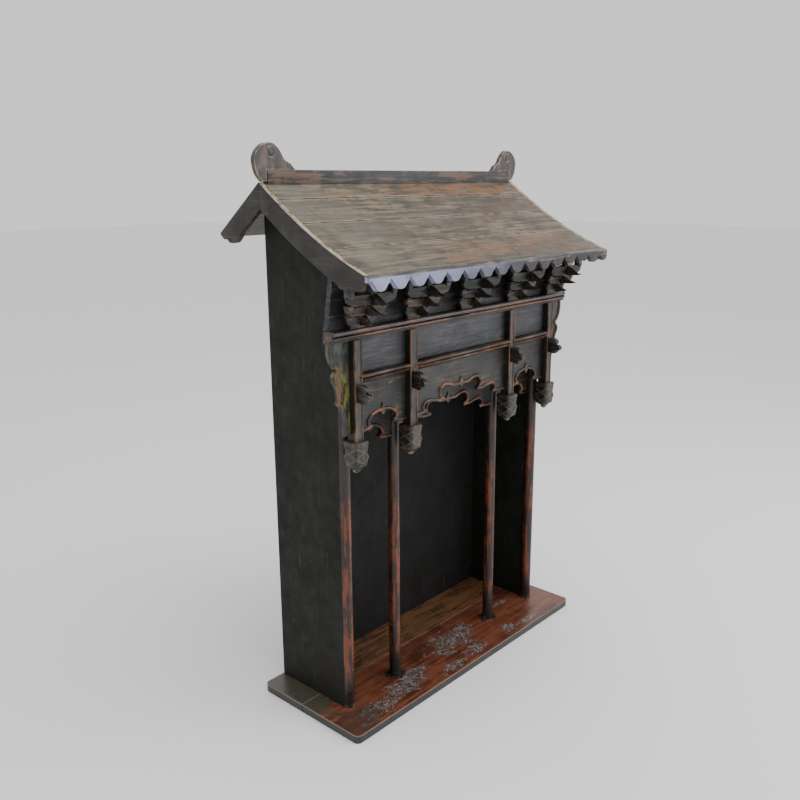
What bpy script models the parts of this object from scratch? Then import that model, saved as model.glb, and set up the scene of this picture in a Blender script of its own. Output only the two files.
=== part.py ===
"""Altar shrine: a small carved wooden temple-front cabinet.

Metres, +Z up, +X to the right seen from the front, the open front faces -Y.
The origin is the centre of the base's underside.
"""
from math import cos, hypot, pi, radians, sin

import bmesh
import bpy
from mathutils import Matrix

MM = 0.001
GAP = 0.0003

# Base: two edge-joined planks
BASE_SIDE_MARGIN = 0.0545
BASE_DEPTH = 0.2992
BASE_THICKNESS = 0.0188
BASE_REAR_PLANK = 0.1266
BASE_CORNER_RADIUS = 0.012
BASE_EDGE_RADIUS = 0.003

# Cabinet: side panels, back panel, round corner posts and columns
CABINET_WIDTH = 0.700
CABINET_DEPTH = 0.2017
CABINET_REAR_MARGIN = 0.0029
PANEL_THICKNESS = 0.0167
BACK_PANEL_REBATE = 0.0029
CORNER_POST_RADIUS = 0.013
COLUMN_FOOT_RADIUS = 0.0132
COLUMN_TOP_RADIUS = 0.0120
COLUMN_SPACING = 0.356
COLUMN_SETBACK = 0.010
COLUMN_HEIGHT = 0.7232
LINTEL_HEIGHT = 0.020
LINTEL_DEPTH = 0.024
TENON_LENGTH = 0.007

# Hung facade
FACADE_PROJECTION = 0.049
HANGING_POST_WIDTH = 0.022
HANGING_POST_DEPTH = 0.024
HANGING_POST_CHAMFER = 0.002
HANGING_POST_DROP = 0.114
INNER_BAY = 0.350
BOTTOM_RAIL_HEIGHT = 0.0195
FRIEZE_HEIGHT = 0.0685
TOP_RAIL_HEIGHT = 0.023
TOP_RAIL_OVERHANG = 0.056
SCREEN_THICKNESS = 0.008
BEAD_RELIEF = 0.0025
INNER_APRON_THICKNESS = 0.010
INNER_APRON_LOWERING = 0.043
TIE_BEAM_WIDTH = 0.011
TIE_BEAM_HEIGHT = 0.034
TIE_BEAM_NOSE = 0.033
FINIAL_WIDTH = 0.038
FINIAL_BLOCK_HEIGHT = 0.040
FINIAL_TAPER_HEIGHT = 0.015
FINIAL_KNOB_RADIUS = 0.008
WING_WIDTH = 0.054
WING_HEIGHT = 0.188

# Bracket zone
BRACKET_BOARD_THICKNESS = 0.012
BRACKET_BOARD_TAPER = 0.014
BRACKET_BOARD_TAPER_HEIGHT = 0.087
SEAT_HEIGHT = 0.0085
SEAT_WIDTH = 0.038
BRACKET_PITCH = 0.0205
BRACKET_ARM_HEIGHT = 0.016
BRACKET_ARM_THICKNESS = 0.009
BRACKET_BLOCK = 0.014
BRACKET_STEP = 0.015
FIRST_STEP = 0.022
CROSS_ARM_HALF = (0.038, 0.052, 0.065)
BEAK_LENGTH = (0.059, 0.084, 0.099)
TOP_BLOCK_HEIGHT = 0.0135

# Roof
PURLIN_DEPTH = 0.012
PURLIN_HEIGHT = 0.0365
ROOF_OVERHANG = 0.063
ROOF_THICKNESS = 0.012
RIDGE_SETBACK = 0.0647
FRONT_EAVE_PROJECTION = 0.104
REAR_EAVE_PROJECTION = 0.0643
FRONT_SLOPE = 0.76
FRONT_SAG = 0.683
REAR_SLOPE = 0.7705
PLANK_JOINTS = (0.044, 0.110, 0.187)
BARGE_THICKNESS = 0.012
BARGE_DEPTH = 0.0505
BARGE_TAIL = 0.061
FASCIA_THICKNESS = 0.011
FASCIA_DEPTH = 0.026
FASCIA_PITCH = 0.0524
FASCIA_FIRST_NOTCH = 0.058
FASCIA_NOTCH_DEPTH = 0.020
RIDGE_THICKNESS = 0.014
RIDGE_HEIGHT = 0.0225
RIDGE_END_SETBACK = 0.017
RIDGE_FINIAL_HEIGHT = 0.050

# Levels
BASE_TOP = BASE_THICKNESS
COLUMN_TOP = BASE_TOP + COLUMN_HEIGHT
BOTTOM_RAIL_TOP = COLUMN_TOP + BOTTOM_RAIL_HEIGHT
TOP_RAIL_BOTTOM = BOTTOM_RAIL_TOP + FRIEZE_HEIGHT
TOP_RAIL_TOP = TOP_RAIL_BOTTOM + TOP_RAIL_HEIGHT
FIRST_TIER = TOP_RAIL_TOP + SEAT_HEIGHT
BRACKET_TOP = FIRST_TIER + 2 * BRACKET_PITCH + BRACKET_ARM_HEIGHT + 0.004 + TOP_BLOCK_HEIGHT

# Positions along Y, from the back to the front
CABINET_BACK = BASE_DEPTH / 2 - CABINET_REAR_MARGIN
BACK_PANEL_BACK = CABINET_BACK - BACK_PANEL_REBATE
BACK_PANEL_FRONT = BACK_PANEL_BACK - PANEL_THICKNESS
RIDGE_Y = CABINET_BACK - RIDGE_SETBACK
CORNER_POST_Y = CABINET_BACK - CABINET_DEPTH
COLUMN_Y = CORNER_POST_Y + COLUMN_SETBACK
RAIL_FRONT = CORNER_POST_Y - FACADE_PROJECTION
RAIL_BACK = RAIL_FRONT + HANGING_POST_DEPTH
SCREEN_FRONT = RAIL_BACK - SCREEN_THICKNESS
BOARD_FRONT = SCREEN_FRONT
BOARD_BACK = BOARD_FRONT + BRACKET_BOARD_THICKNESS
TIER_Y = tuple(BOARD_FRONT - FIRST_STEP - BRACKET_STEP * k for k in range(3))
PURLIN_FRONT = TIER_Y[2] - PURLIN_DEPTH / 2
PURLIN_BACK = TIER_Y[2] + PURLIN_DEPTH / 2
EAVE_Y = RAIL_FRONT - FRONT_EAVE_PROJECTION
FASCIA_BACK = EAVE_Y + FASCIA_THICKNESS
REAR_EAVE_Y = CABINET_BACK + REAR_EAVE_PROJECTION

# Positions along X
PANEL_OUTER = CABINET_WIDTH / 2
PANEL_INNER = PANEL_OUTER - PANEL_THICKNESS
CORNER_POST_X = PANEL_OUTER - CORNER_POST_RADIUS
COLUMN_X = COLUMN_SPACING / 2
HANGING_POST_X = (-CORNER_POST_X, -INNER_BAY / 2, INNER_BAY / 2, CORNER_POST_X)
BRACKET_X = (-CORNER_POST_X, -INNER_BAY / 2, 0.0, INNER_BAY / 2, CORNER_POST_X)
TOP_RAIL_END = PANEL_OUTER + TOP_RAIL_OVERHANG
ROOF_END = PANEL_OUTER + ROOF_OVERHANG
BARGE_INNER = ROOF_END - BARGE_THICKNESS
RIDGE_END = ROOF_END - RIDGE_END_SETBACK

# Outlines drawn in millimetres for half bays of these widths: (sideways, drop below the rail)
CENTRE_HALF = 163.7
SIDE_HALF = 69.7
CENTRE_OPENING = (
    ((0, 63), (10, 59.5), (27, 59.5), (44, 54), (60, 52.5), (70, 60), (70, 71), (59, 81)),
    ((59, 81), (77, 84.5), (97, 81), (114, 79), (126, 84), (127, 92), (120, 97)),
    ((120, 97), (132, 101), (154, 102), (CENTRE_HALF, 102)),
)
CENTRE_BEAD = (
    ((0, 38), (6, 44.5), (15, 50), (36, 50.5), (50, 46.5), (64, 45), (77, 52), (81, 66), (79, 74)),
    ((79, 74), (84, 77.5)),
    ((84, 77.5), (92, 73.5), (115, 71), (131, 76), (139, 86), (141, 92)),
    ((141, 92), (156, 94), (CENTRE_HALF, 94)),
)
SIDE_OPENING = (
    ((0, 74), (5, 69), (16, 70), (29, 74), (38, 82), (39, 89), (32, 96.5)),
    ((32, 96.5), (45, 101), (60, 102), (SIDE_HALF, 102)),
)
SIDE_BEAD = (
    ((0, 52), (5, 61), (16, 64.5), (33, 66.5), (46, 75), (48.5, 86), (46, 93)),
    ((46, 93), (62, 97), (SIDE_HALF, 97)),
)
# Wing's outer edge and the bead's inner line: (outwards from the post, drop below the rail)
WING_EDGE = (
    ((54, 0), (54, 19), (49.5, 35), (42.4, 47), (34, 53.6)),
    ((34, 53.6), (42, 62.4), (44, 71), (40, 80.4), (34.5, 90.4), (31.5, 102.5), (31, 113), (35.6, 122.3)),
    ((35.6, 122.3), (26, 126.7), (22, 135.3), (17.3, 146.7), (15.3, 159), (18, 173), (20, 188)),
)
WING_BEAD = (
    ((42, 0), (41, 19), (37, 33), (27, 51)),
    ((27, 51), (34, 62), (34, 71), (29, 86), (24, 102), (23.5, 113), (25, 118)),
    ((25, 118), (16, 127), (11, 147), (8, 160), (10, 174), (11, 188)),
)
# Tie beam's nose: (in front of the post, drop below the beam's top)
NOSE = (
    ((0, 0), (12, -1.5), (22, 3), (24, 10), (19, 14.5)),
    ((19, 14.5), (28, 15), (33, 21.5), (29, 28), (22, 28.5)),
    ((22, 28.5), (23, 33), (17, 36.5), (8, 35), (0, 34)),
)
# Rear end of a barge board: (in front of the rear eave, drop below the roof)
BARGE_SCROLL = (
    ((69, 51), (60, 55), (51, 56), (41, 51), (29, 41), (21, 28)),
    ((21, 28), (13, 23), (5, 12), (0, 3)),
)
# One lobe of the fascia, whole and broken: shares of (pitch from its notch, notch depth above its foot)
LOBE = [(0.24, 0.26), (0.36, 0.04), (0.64, 0.04), (0.76, 0.26)]
BROKEN_LOBE = [(0.24, 0.26), (0.36, 0.04), (0.40, 0.04), (0.50, 0.42), (0.73, 0.52), (0.70, 0.14),
               (0.76, 0.26)]
# Ridge finial: (outwards from the beam's end, rise above the ridge)
RIDGE_FINIAL = (
    ((11, 0), (24, 15), (29.8, 39), (24, 55), (9, 68), (-8, 72), (-21, 69), (-34, 58), (-44, 43)),
    ((-44, 43), (-48, 40), (-61, 34)),
    ((-61, 34), (-66, 28), (-72, 23)),
)


def material(name, colour, roughness):
    """Principled material with a plain colour."""
    made = bpy.data.materials.new(name)
    made.use_nodes = True
    shader = made.node_tree.nodes["Principled BSDF"]
    shader.inputs["Base Color"].default_value = (*colour, 1.0)
    shader.inputs["Roughness"].default_value = roughness
    made.diffuse_color = (*colour, 1.0)
    return made


def smooth(runs, steps):
    """Points of the outline through all runs, each curved inside and sharp at its ends."""
    outline = []
    for run in runs:
        last = len(run) - 1
        for index in range(last):
            p0 = run[max(index - 1, 0)]
            p1 = run[index]
            p2 = run[index + 1]
            p3 = run[min(index + 2, last)]
            for step in range(steps):
                t = step / steps
                outline.append(tuple(
                    0.5 * (2 * b + (c - a) * t + (2 * a - 5 * b + 4 * c - d) * t * t
                           + (3 * b - a - 3 * c + d) * t ** 3)
                    for a, b, c, d in zip(p0, p1, p2, p3)))
    outline.append(runs[-1][-1])
    return outline


def store(mesh, name, look):
    """New object in the part's collection."""
    made = bpy.data.objects.new(name, mesh)
    mesh.materials.clear()
    mesh.materials.append(material(name, *look))
    collection.objects.link(made)
    return made


def prism(name, outline, axis, low, high, look):
    """A flat outline made solid between two planes square to the axis."""
    curve = bpy.data.curves.new(name, "CURVE")
    curve.dimensions = "2D"
    curve.fill_mode = "BOTH"
    curve.extrude = (high - low) / 2
    spline = curve.splines.new("POLY")
    spline.points.add(len(outline) - 1)
    for point, (across, along) in zip(spline.points, outline):
        point.co = (across, along, 0.0, 1.0)
    spline.use_cyclic_u = True
    drawn = bpy.data.objects.new(name, curve)
    collection.objects.link(drawn)
    bpy.context.view_layer.update()
    mesh = bpy.data.meshes.new_from_object(drawn.evaluated_get(bpy.context.evaluated_depsgraph_get()))
    bpy.data.objects.remove(drawn)
    middle = (low + high) / 2
    if axis == "X":
        mesh.transform(Matrix(((0, 0, 1, middle), (1, 0, 0, 0), (0, 1, 0, 0), (0, 0, 0, 1))))
    elif axis == "Y":
        mesh.transform(Matrix(((1, 0, 0, 0), (0, 0, -1, middle), (0, 1, 0, 0), (0, 0, 0, 1))))
    else:
        mesh.transform(Matrix.Translation((0, 0, middle)))
    welded = bmesh.new()
    welded.from_mesh(mesh)
    bmesh.ops.remove_doubles(welded, verts=welded.verts, dist=0.00001)
    bmesh.ops.recalc_face_normals(welded, faces=welded.faces)
    welded.to_mesh(mesh)
    welded.free()
    return store(mesh, name, look)


def raised_board(name, field, strip, front, back, relief, look):
    """A board facing -Y whose strip, next to the field along one line, stands proud: (x, z) outlines."""
    shape = bmesh.new()
    for index, outline in enumerate((field, strip)):
        curve = bpy.data.curves.new(name, "CURVE")
        curve.dimensions = "2D"
        curve.fill_mode = "FRONT"
        spline = curve.splines.new("POLY")
        spline.points.add(len(outline) - 1)
        for point, (across, along) in zip(spline.points, outline):
            point.co = (across, along, 0.0, 1.0)
        spline.use_cyclic_u = True
        drawn = bpy.data.objects.new(name, curve)
        collection.objects.link(drawn)
        bpy.context.view_layer.update()
        flat = bpy.data.meshes.new_from_object(drawn.evaluated_get(bpy.context.evaluated_depsgraph_get()))
        bpy.data.objects.remove(drawn)
        before = len(shape.faces)
        shape.from_mesh(flat)
        for face in shape.faces[before:]:
            face.material_index = index
    bmesh.ops.remove_doubles(shape, verts=shape.verts, dist=0.00001)
    bmesh.ops.recalc_face_normals(shape, faces=shape.faces)
    grown = bmesh.ops.extrude_face_region(shape, geom=shape.faces[:])["geom"]
    lifted = [item for item in grown if isinstance(item, bmesh.types.BMVert)]
    bmesh.ops.translate(shape, vec=(0.0, 0.0, back - front), verts=lifted)
    raised = [item for item in grown if isinstance(item, bmesh.types.BMFace) and item.material_index == 1]
    grown = bmesh.ops.extrude_face_region(shape, geom=raised)["geom"]
    lifted = [item for item in grown if isinstance(item, bmesh.types.BMVert)]
    bmesh.ops.translate(shape, vec=(0.0, 0.0, relief), verts=lifted)
    bmesh.ops.delete(shape, geom=raised, context="FACES")
    for face in shape.faces:
        face.material_index = 0
    bmesh.ops.recalc_face_normals(shape, faces=shape.faces)
    mesh = bpy.data.meshes.new(name)
    shape.to_mesh(mesh)
    shape.free()
    mesh.transform(Matrix(((1, 0, 0, 0), (0, 0, -1, back), (0, 1, 0, 0), (0, 0, 0, 1))))
    return store(mesh, name, look)


def box(name, x, y, z, look):
    """A plain board between three pairs of planes."""
    shape = bmesh.new()
    bmesh.ops.create_cube(shape, size=1.0)
    size = Matrix.Diagonal((x[1] - x[0], y[1] - y[0], z[1] - z[0], 1.0))
    centre = Matrix.Translation(((x[0] + x[1]) / 2, (y[0] + y[1]) / 2, (z[0] + z[1]) / 2))
    bmesh.ops.transform(shape, matrix=centre @ size, verts=shape.verts)
    mesh = bpy.data.meshes.new(name)
    shape.to_mesh(mesh)
    shape.free()
    return store(mesh, name, look)


def round_post(name, x, y, bottom, top, foot_radius, top_radius, look):
    """A round post, shaded smooth."""
    shape = bmesh.new()
    place = Matrix.Translation((x, y, (bottom + top) / 2))
    bmesh.ops.create_cone(shape, cap_ends=True, segments=24, radius1=foot_radius,
                          radius2=top_radius, depth=top - bottom, matrix=place)
    mesh = bpy.data.meshes.new(name)
    shape.to_mesh(mesh)
    shape.free()
    mesh.shade_smooth()
    mesh.set_sharp_from_angle(angle=radians(40))
    return store(mesh, name, look)


def combine(body, others, operation):
    """The body with the others joined to it or cut out of it, as one closed mesh."""
    for other in others:
        modifier = body.modifiers.new(other.name, "BOOLEAN")
        modifier.operation = operation
        modifier.solver = "EXACT"
        modifier.object = other
    bpy.context.view_layer.update()
    mesh = bpy.data.meshes.new_from_object(body.evaluated_get(bpy.context.evaluated_depsgraph_get()))
    body.modifiers.clear()
    merged = bmesh.new()
    merged.from_mesh(mesh)
    bmesh.ops.dissolve_limit(merged, angle_limit=radians(0.1), verts=merged.verts, edges=merged.edges)
    merged.to_mesh(mesh)
    merged.free()
    look = body.data.materials[0]
    body.data = mesh
    mesh.materials.clear()
    mesh.materials.append(look)
    for other in others:
        bpy.data.objects.remove(other)
    return body


def roof_drop(y):
    """How far the roof's top lies below the ridge line at y."""
    run = RIDGE_Y - y
    if run > 0:
        return FRONT_SLOPE * run - FRONT_SAG * run * run
    return -REAR_SLOPE * run


def roof_steepness(y):
    """Vertical thickness of the roof boards at y."""
    run = RIDGE_Y - y
    slope = FRONT_SLOPE - 2 * FRONT_SAG * run if run > 0 else REAR_SLOPE
    return ROOF_THICKNESS * hypot(1.0, slope)


RIDGE_Z = (BRACKET_TOP + GAP + PURLIN_HEIGHT + roof_steepness(PURLIN_FRONT) + GAP + roof_drop(PURLIN_FRONT))


def roof_top(y):
    """Height of the roof's top surface."""
    return RIDGE_Z - roof_drop(y)


def roof_under(y):
    """Height just below the roof's boards, clear of them."""
    return roof_top(y) - roof_steepness(y) - GAP


def stations(start, end, count):
    """Evenly spaced positions from start to end."""
    return [start + (end - start) * k / count for k in range(count + 1)]


for old in list(bpy.data.objects):
    bpy.data.objects.remove(old)
collection = bpy.data.collections.new("altar_shrine")
bpy.context.scene.collection.children.link(collection)

DARK = ((0.030, 0.027, 0.024), 0.55)
BLACK = ((0.013, 0.012, 0.011), 0.65)
SLATE = ((0.040, 0.045, 0.050), 0.50)
RED_BROWN = ((0.110, 0.030, 0.016), 0.35)
BASE_BROWN = ((0.100, 0.040, 0.022), 0.40)
BEAD_BROWN = ((0.085, 0.045, 0.030), 0.45)
ROOF_TAN = ((0.200, 0.165, 0.125), 0.65)
BLUE_GREY = ((0.130, 0.140, 0.170), 0.45)

# Base planks, the outer corners rounded in plan and the edges eased
half_width = PANEL_OUTER + BASE_SIDE_MARGIN
base_front = -BASE_DEPTH / 2
base_back = BASE_DEPTH / 2
joint = base_back - BASE_REAR_PLANK
for name, sharp_y, round_y in (("base_board_front", joint - GAP / 2, base_front),
                               ("base_board_rear", joint + GAP / 2, base_back)):
    outward = 1 if round_y > sharp_y else -1
    corner = round_y - outward * BASE_CORNER_RADIUS
    outline = [(half_width, sharp_y)]
    for side in (1, -1):
        for step in range(5):
            turn = step * pi / 8 if side == 1 else pi / 2 - step * pi / 8
            outline.append((side * (half_width - BASE_CORNER_RADIUS * (1 - cos(turn))),
                            corner + outward * BASE_CORNER_RADIUS * sin(turn)))
    outline.append((-half_width, sharp_y))
    plank = prism(name, outline, "Z", 0.0, BASE_THICKNESS, BASE_BROWN)
    eased = plank.modifiers.new("eased_edges", "BEVEL")
    eased.width = BASE_EDGE_RADIUS
    eased.segments = 2
    eased.limit_method = "ANGLE"
    eased.angle_limit = radians(40)

# Side panels, each a plain board with its top cut to the roof
for name, side in (("left", -1), ("right", 1)):
    outline = [(CABINET_BACK, BASE_TOP + GAP), (CABINET_BACK, roof_under(CABINET_BACK))]
    outline += [(y, roof_under(y)) for y in stations(RIDGE_Y, CORNER_POST_Y, 5)]
    outline.append((CORNER_POST_Y, BASE_TOP + GAP))
    inner, outer = sorted((side * PANEL_INNER, side * PANEL_OUTER))
    prism("side_panel_" + name, outline, "X", inner, outer, DARK)

# Back panel, set in between the side panels
outline = [
    (BACK_PANEL_FRONT, BASE_TOP + GAP),
    (BACK_PANEL_BACK, BASE_TOP + GAP),
    (BACK_PANEL_BACK, roof_under(BACK_PANEL_BACK)),
    (BACK_PANEL_FRONT, roof_under(BACK_PANEL_FRONT)),
]
back_half = PANEL_INNER - GAP
prism("back_panel", outline, "X", -back_half, back_half, BLACK)

# Corner posts, grooved for the side panel's front edge and mortised for the tie beam
corner_post_top = roof_under(CORNER_POST_Y - CORNER_POST_RADIUS)
beam_bottom = COLUMN_TOP - TIE_BEAM_HEIGHT
for name, side in (("left", -1), ("right", 1)):
    post = round_post("corner_post_" + name, side * CORNER_POST_X, CORNER_POST_Y, BASE_TOP + GAP,
                      corner_post_top, CORNER_POST_RADIUS, CORNER_POST_RADIUS, RED_BROWN)
    inner, outer = sorted((side * (PANEL_INNER - GAP), side * (PANEL_OUTER + CORNER_POST_RADIUS)))
    groove = box("groove", (inner, outer), (CORNER_POST_Y - GAP, CORNER_POST_Y + 2 * CORNER_POST_RADIUS),
                 (0.0, corner_post_top + 0.1), DARK)
    half = TIE_BEAM_WIDTH / 2 + GAP
    front = CORNER_POST_Y - CORNER_POST_RADIUS
    mortise = box("mortise", (side * CORNER_POST_X - half, side * CORNER_POST_X + half),
                  (front - 0.02, front + TENON_LENGTH + GAP), (beam_bottom - GAP, COLUMN_TOP + GAP), DARK)
    combine(post, [groove, mortise], "DIFFERENCE")

# Columns, slightly tapered, mortised for the tie beams
column_front = COLUMN_Y - COLUMN_TOP_RADIUS
for name, side in (("left", -1), ("right", 1)):
    column = round_post("column_" + name, side * COLUMN_X, COLUMN_Y, BASE_TOP + GAP, COLUMN_TOP - GAP,
                        COLUMN_FOOT_RADIUS, COLUMN_TOP_RADIUS, RED_BROWN)
    middle = side * INNER_BAY / 2
    half = TIE_BEAM_WIDTH / 2 + GAP
    mortise = box("mortise", (middle - half, middle + half),
                  (column_front - 0.02, column_front + TENON_LENGTH + GAP),
                  (beam_bottom - GAP, COLUMN_TOP + 0.01), DARK)
    combine(column, [mortise], "DIFFERENCE")

# Lintel on the columns, its ends notched round the corner posts
lintel = box("inner_lintel", (-back_half, back_half),
             (COLUMN_Y - LINTEL_DEPTH / 2, COLUMN_Y + LINTEL_DEPTH / 2),
             (COLUMN_TOP, COLUMN_TOP + LINTEL_HEIGHT), BLACK)
notches = [round_post("notch", side * CORNER_POST_X, CORNER_POST_Y, COLUMN_TOP - 0.01,
                      COLUMN_TOP + LINTEL_HEIGHT + 0.01, CORNER_POST_RADIUS + GAP,
                      CORNER_POST_RADIUS + GAP, BLACK) for side in (-1, 1)]
combine(lintel, notches, "DIFFERENCE")


def rail_profile(bottom, height):
    """Rounded bar over a groove and a bead, with a recessed fillet below: (y, z)."""
    front = RAIL_FRONT
    return [
        (RAIL_BACK, bottom),
        (front + 0.0080, bottom),
        (front + 0.0080, bottom + 0.28 * height),
        (front + 0.0030, bottom + 0.34 * height),
        (front + 0.0020, bottom + 0.43 * height),
        (front + 0.0030, bottom + 0.52 * height),
        (front + 0.0055, bottom + 0.56 * height),
        (front + 0.0010, bottom + 0.65 * height),
        (front, bottom + 0.80 * height),
        (front + 0.0015, bottom + 0.94 * height),
        (front + 0.0050, bottom + height),
        (RAIL_BACK, bottom + height),
    ]


# Rails: the top one runs right across, the bottom one lies between the hanging posts
prism("top_rail", rail_profile(TOP_RAIL_BOTTOM, TOP_RAIL_HEIGHT), "X", -TOP_RAIL_END, TOP_RAIL_END,
      BEAD_BROWN)
post_half = HANGING_POST_WIDTH / 2
bays = [(HANGING_POST_X[k] + post_half + GAP, HANGING_POST_X[k + 1] - post_half - GAP) for k in range(3)]
for name, (left, right) in zip(("left", "centre", "right"), bays):
    prism("bottom_rail_" + name, rail_profile(COLUMN_TOP + GAP, BOTTOM_RAIL_HEIGHT - GAP), "X", left, right,
          BEAD_BROWN)
    box("frieze_panel_" + name, (left, right), (SCREEN_FRONT, RAIL_BACK),
        (BOTTOM_RAIL_TOP + GAP, TOP_RAIL_BOTTOM - GAP), SLATE)

# Hanging posts with their front edges eased, on tie beams that pass through them
post_bottom = COLUMN_TOP - HANGING_POST_DROP
post_names = ("outer_left", "inner_left", "inner_right", "outer_right")
for name, x in zip(post_names, HANGING_POST_X):
    outline = [
        (x - post_half, RAIL_BACK),
        (x + post_half, RAIL_BACK),
        (x + post_half, RAIL_FRONT + HANGING_POST_CHAMFER),
        (x + post_half - HANGING_POST_CHAMFER, RAIL_FRONT),
        (x - post_half + HANGING_POST_CHAMFER, RAIL_FRONT),
        (x - post_half, RAIL_FRONT + HANGING_POST_CHAMFER),
    ]
    post = prism("hanging_post_" + name, outline, "Z", post_bottom, TOP_RAIL_BOTTOM - GAP, BEAD_BROWN)
    half = TIE_BEAM_WIDTH / 2
    mortise = box("mortise", (x - half - GAP, x + half + GAP), (RAIL_FRONT - 0.02, RAIL_BACK + 0.02),
                  (beam_bottom - GAP, COLUMN_TOP + GAP), DARK)
    combine(post, [mortise], "DIFFERENCE")

    carrier_front = CORNER_POST_Y - CORNER_POST_RADIUS if "outer" in name else column_front
    beam_back = carrier_front + TENON_LENGTH
    stretch_out = TIE_BEAM_NOSE / (33 * MM)
    stretch_down = TIE_BEAM_HEIGHT / (34 * MM)
    nose = [(RAIL_FRONT - GAP - out * MM * stretch_out, COLUMN_TOP - down * MM * stretch_down)
            for out, down in smooth(NOSE, 2)]
    outline = [(beam_back, beam_bottom), (beam_back, COLUMN_TOP - 0.5 * GAP)] + nose
    prism("tie_beam_" + name, outline, "X", x - half, x + half, BLACK)

# Lotus finials: a square block with a raised diamond on each side, tapered to a knob
for name, x in zip(post_names, HANGING_POST_X):
    y = (RAIL_FRONT + RAIL_BACK) / 2
    top = post_bottom - GAP
    shape = bmesh.new()
    bmesh.ops.create_cube(shape, size=1.0)
    block = Matrix.Translation((x, y, top - FINIAL_BLOCK_HEIGHT / 2))
    block = block @ Matrix.Diagonal((FINIAL_WIDTH * 0.88, FINIAL_WIDTH * 0.88, FINIAL_BLOCK_HEIGHT, 1.0))
    bmesh.ops.transform(shape, matrix=block, verts=shape.verts)
    for share, drop in ((0.80, 0.45), (0.45, 1.0)):
        under = [face for face in shape.faces if face.normal.z < -0.9]
        grown = bmesh.ops.extrude_face_region(shape, geom=under)
        bmesh.ops.delete(shape, geom=under, context="FACES")
        corners = [item for item in grown["geom"] if isinstance(item, bmesh.types.BMVert)]
        for corner in corners:
            corner.co.x = x + (1 if corner.co.x > x else -1) * FINIAL_WIDTH * share / 2
            corner.co.y = y + (1 if corner.co.y > y else -1) * FINIAL_WIDTH * share / 2
            corner.co.z = top - FINIAL_BLOCK_HEIGHT - FINIAL_TAPER_HEIGHT * drop
        shape.normal_update()
    sides = [face for face in shape.faces
             if abs(face.normal.z) < 0.1 and face.calc_area() > 0.5 * FINIAL_WIDTH * FINIAL_BLOCK_HEIGHT]
    bmesh.ops.inset_individual(shape, faces=sides, thickness=FINIAL_WIDTH * 0.07, depth=FINIAL_WIDTH * 0.06)
    bmesh.ops.poke(shape, faces=sides, offset=-FINIAL_WIDTH * 0.07)
    bmesh.ops.recalc_face_normals(shape, faces=shape.faces)
    mesh = bpy.data.meshes.new("lotus_finial_" + name)
    shape.to_mesh(mesh)
    shape.free()
    finial = store(mesh, "lotus_finial_" + name, DARK)
    knob = bmesh.new()
    bmesh.ops.create_uvsphere(knob, u_segments=10, v_segments=6, radius=FINIAL_KNOB_RADIUS)
    bottom = top - FINIAL_BLOCK_HEIGHT - FINIAL_TAPER_HEIGHT - FINIAL_KNOB_RADIUS * 0.55
    bmesh.ops.translate(knob, vec=(x, y, bottom), verts=knob.verts)
    mesh = bpy.data.meshes.new("knob")
    knob.to_mesh(mesh)
    knob.free()
    combine(finial, [store(mesh, "knob", DARK)], "UNION")


def apron(name, opening, bead, drawn_half, left, right, top, lowering, front, back, look):
    """A board hanging from its top edge, its lower edge cut in scrolls with a raised bead along it."""
    middle = (left + right) / 2
    half_width = (right - left) / 2

    def placed(runs):
        half = [(x * MM * half_width / drawn_half, top - drop * MM - lowering) for x, drop in smooth(runs, 1)]
        half[-1] = (half_width, half[-1][1])
        return [(middle - x, z) for x, z in reversed(half)] + [(middle + x, z) for x, z in half[1:]]

    lower = placed(opening)
    upper = placed(bead)
    corners = [(middle + half_width, top), (middle - half_width, top)]
    return raised_board(name, upper + corners, lower + list(reversed(upper)), front, back, BEAD_RELIEF, look)


# Front aprons between the hanging posts, and inner aprons between the round columns
shapes = ((SIDE_OPENING, SIDE_BEAD, SIDE_HALF), (CENTRE_OPENING, CENTRE_BEAD, CENTRE_HALF),
          (SIDE_OPENING, SIDE_BEAD, SIDE_HALF))
inner_middle = COLUMN_X - COLUMN_TOP_RADIUS - 2 * GAP
inner_outer = COLUMN_X + COLUMN_TOP_RADIUS + 2 * GAP
post_edge = CORNER_POST_X - CORNER_POST_RADIUS - GAP
inner_bays = [(-post_edge, -inner_outer), (-inner_middle, inner_middle), (inner_outer, post_edge)]
for name, (opening, bead, half), (left, right), (inner_left, inner_right) in zip(
        ("left", "centre", "right"), shapes, bays, inner_bays):
    apron("apron_" + name, opening, bead, half * MM, left, right, COLUMN_TOP - GAP / 2, 0.0, SCREEN_FRONT,
          RAIL_BACK, SLATE)
    apron("inner_apron_" + name, opening, bead, half * MM, inner_left, inner_right, COLUMN_TOP - GAP,
          INNER_APRON_LOWERING, COLUMN_Y - INNER_APRON_THICKNESS / 2, COLUMN_Y + INNER_APRON_THICKNESS / 2,
          SLATE)

# Wings outside the outer hanging posts, under the top rail's ends
wing_inner = CORNER_POST_X + post_half + GAP
wing_top = TOP_RAIL_BOTTOM - GAP
for name, side in (("left", -1), ("right", 1)):
    stretch_out = WING_WIDTH / (54 * MM)
    stretch_down = WING_HEIGHT / (188 * MM)
    edge = [(side * (wing_inner + out * MM * stretch_out), wing_top - down * MM * stretch_down)
            for out, down in smooth(WING_EDGE, 1)]
    line = [(side * (wing_inner + out * MM * stretch_out), wing_top - down * MM * stretch_down)
            for out, down in smooth(WING_BEAD, 1)]
    inner_edge = [(side * wing_inner, wing_top - WING_HEIGHT), (side * wing_inner, wing_top)]
    raised_board("wing_" + name, line + inner_edge, edge + list(reversed(line)), SCREEN_FRONT, RAIL_BACK,
                 BEAD_RELIEF, SLATE)

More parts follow.
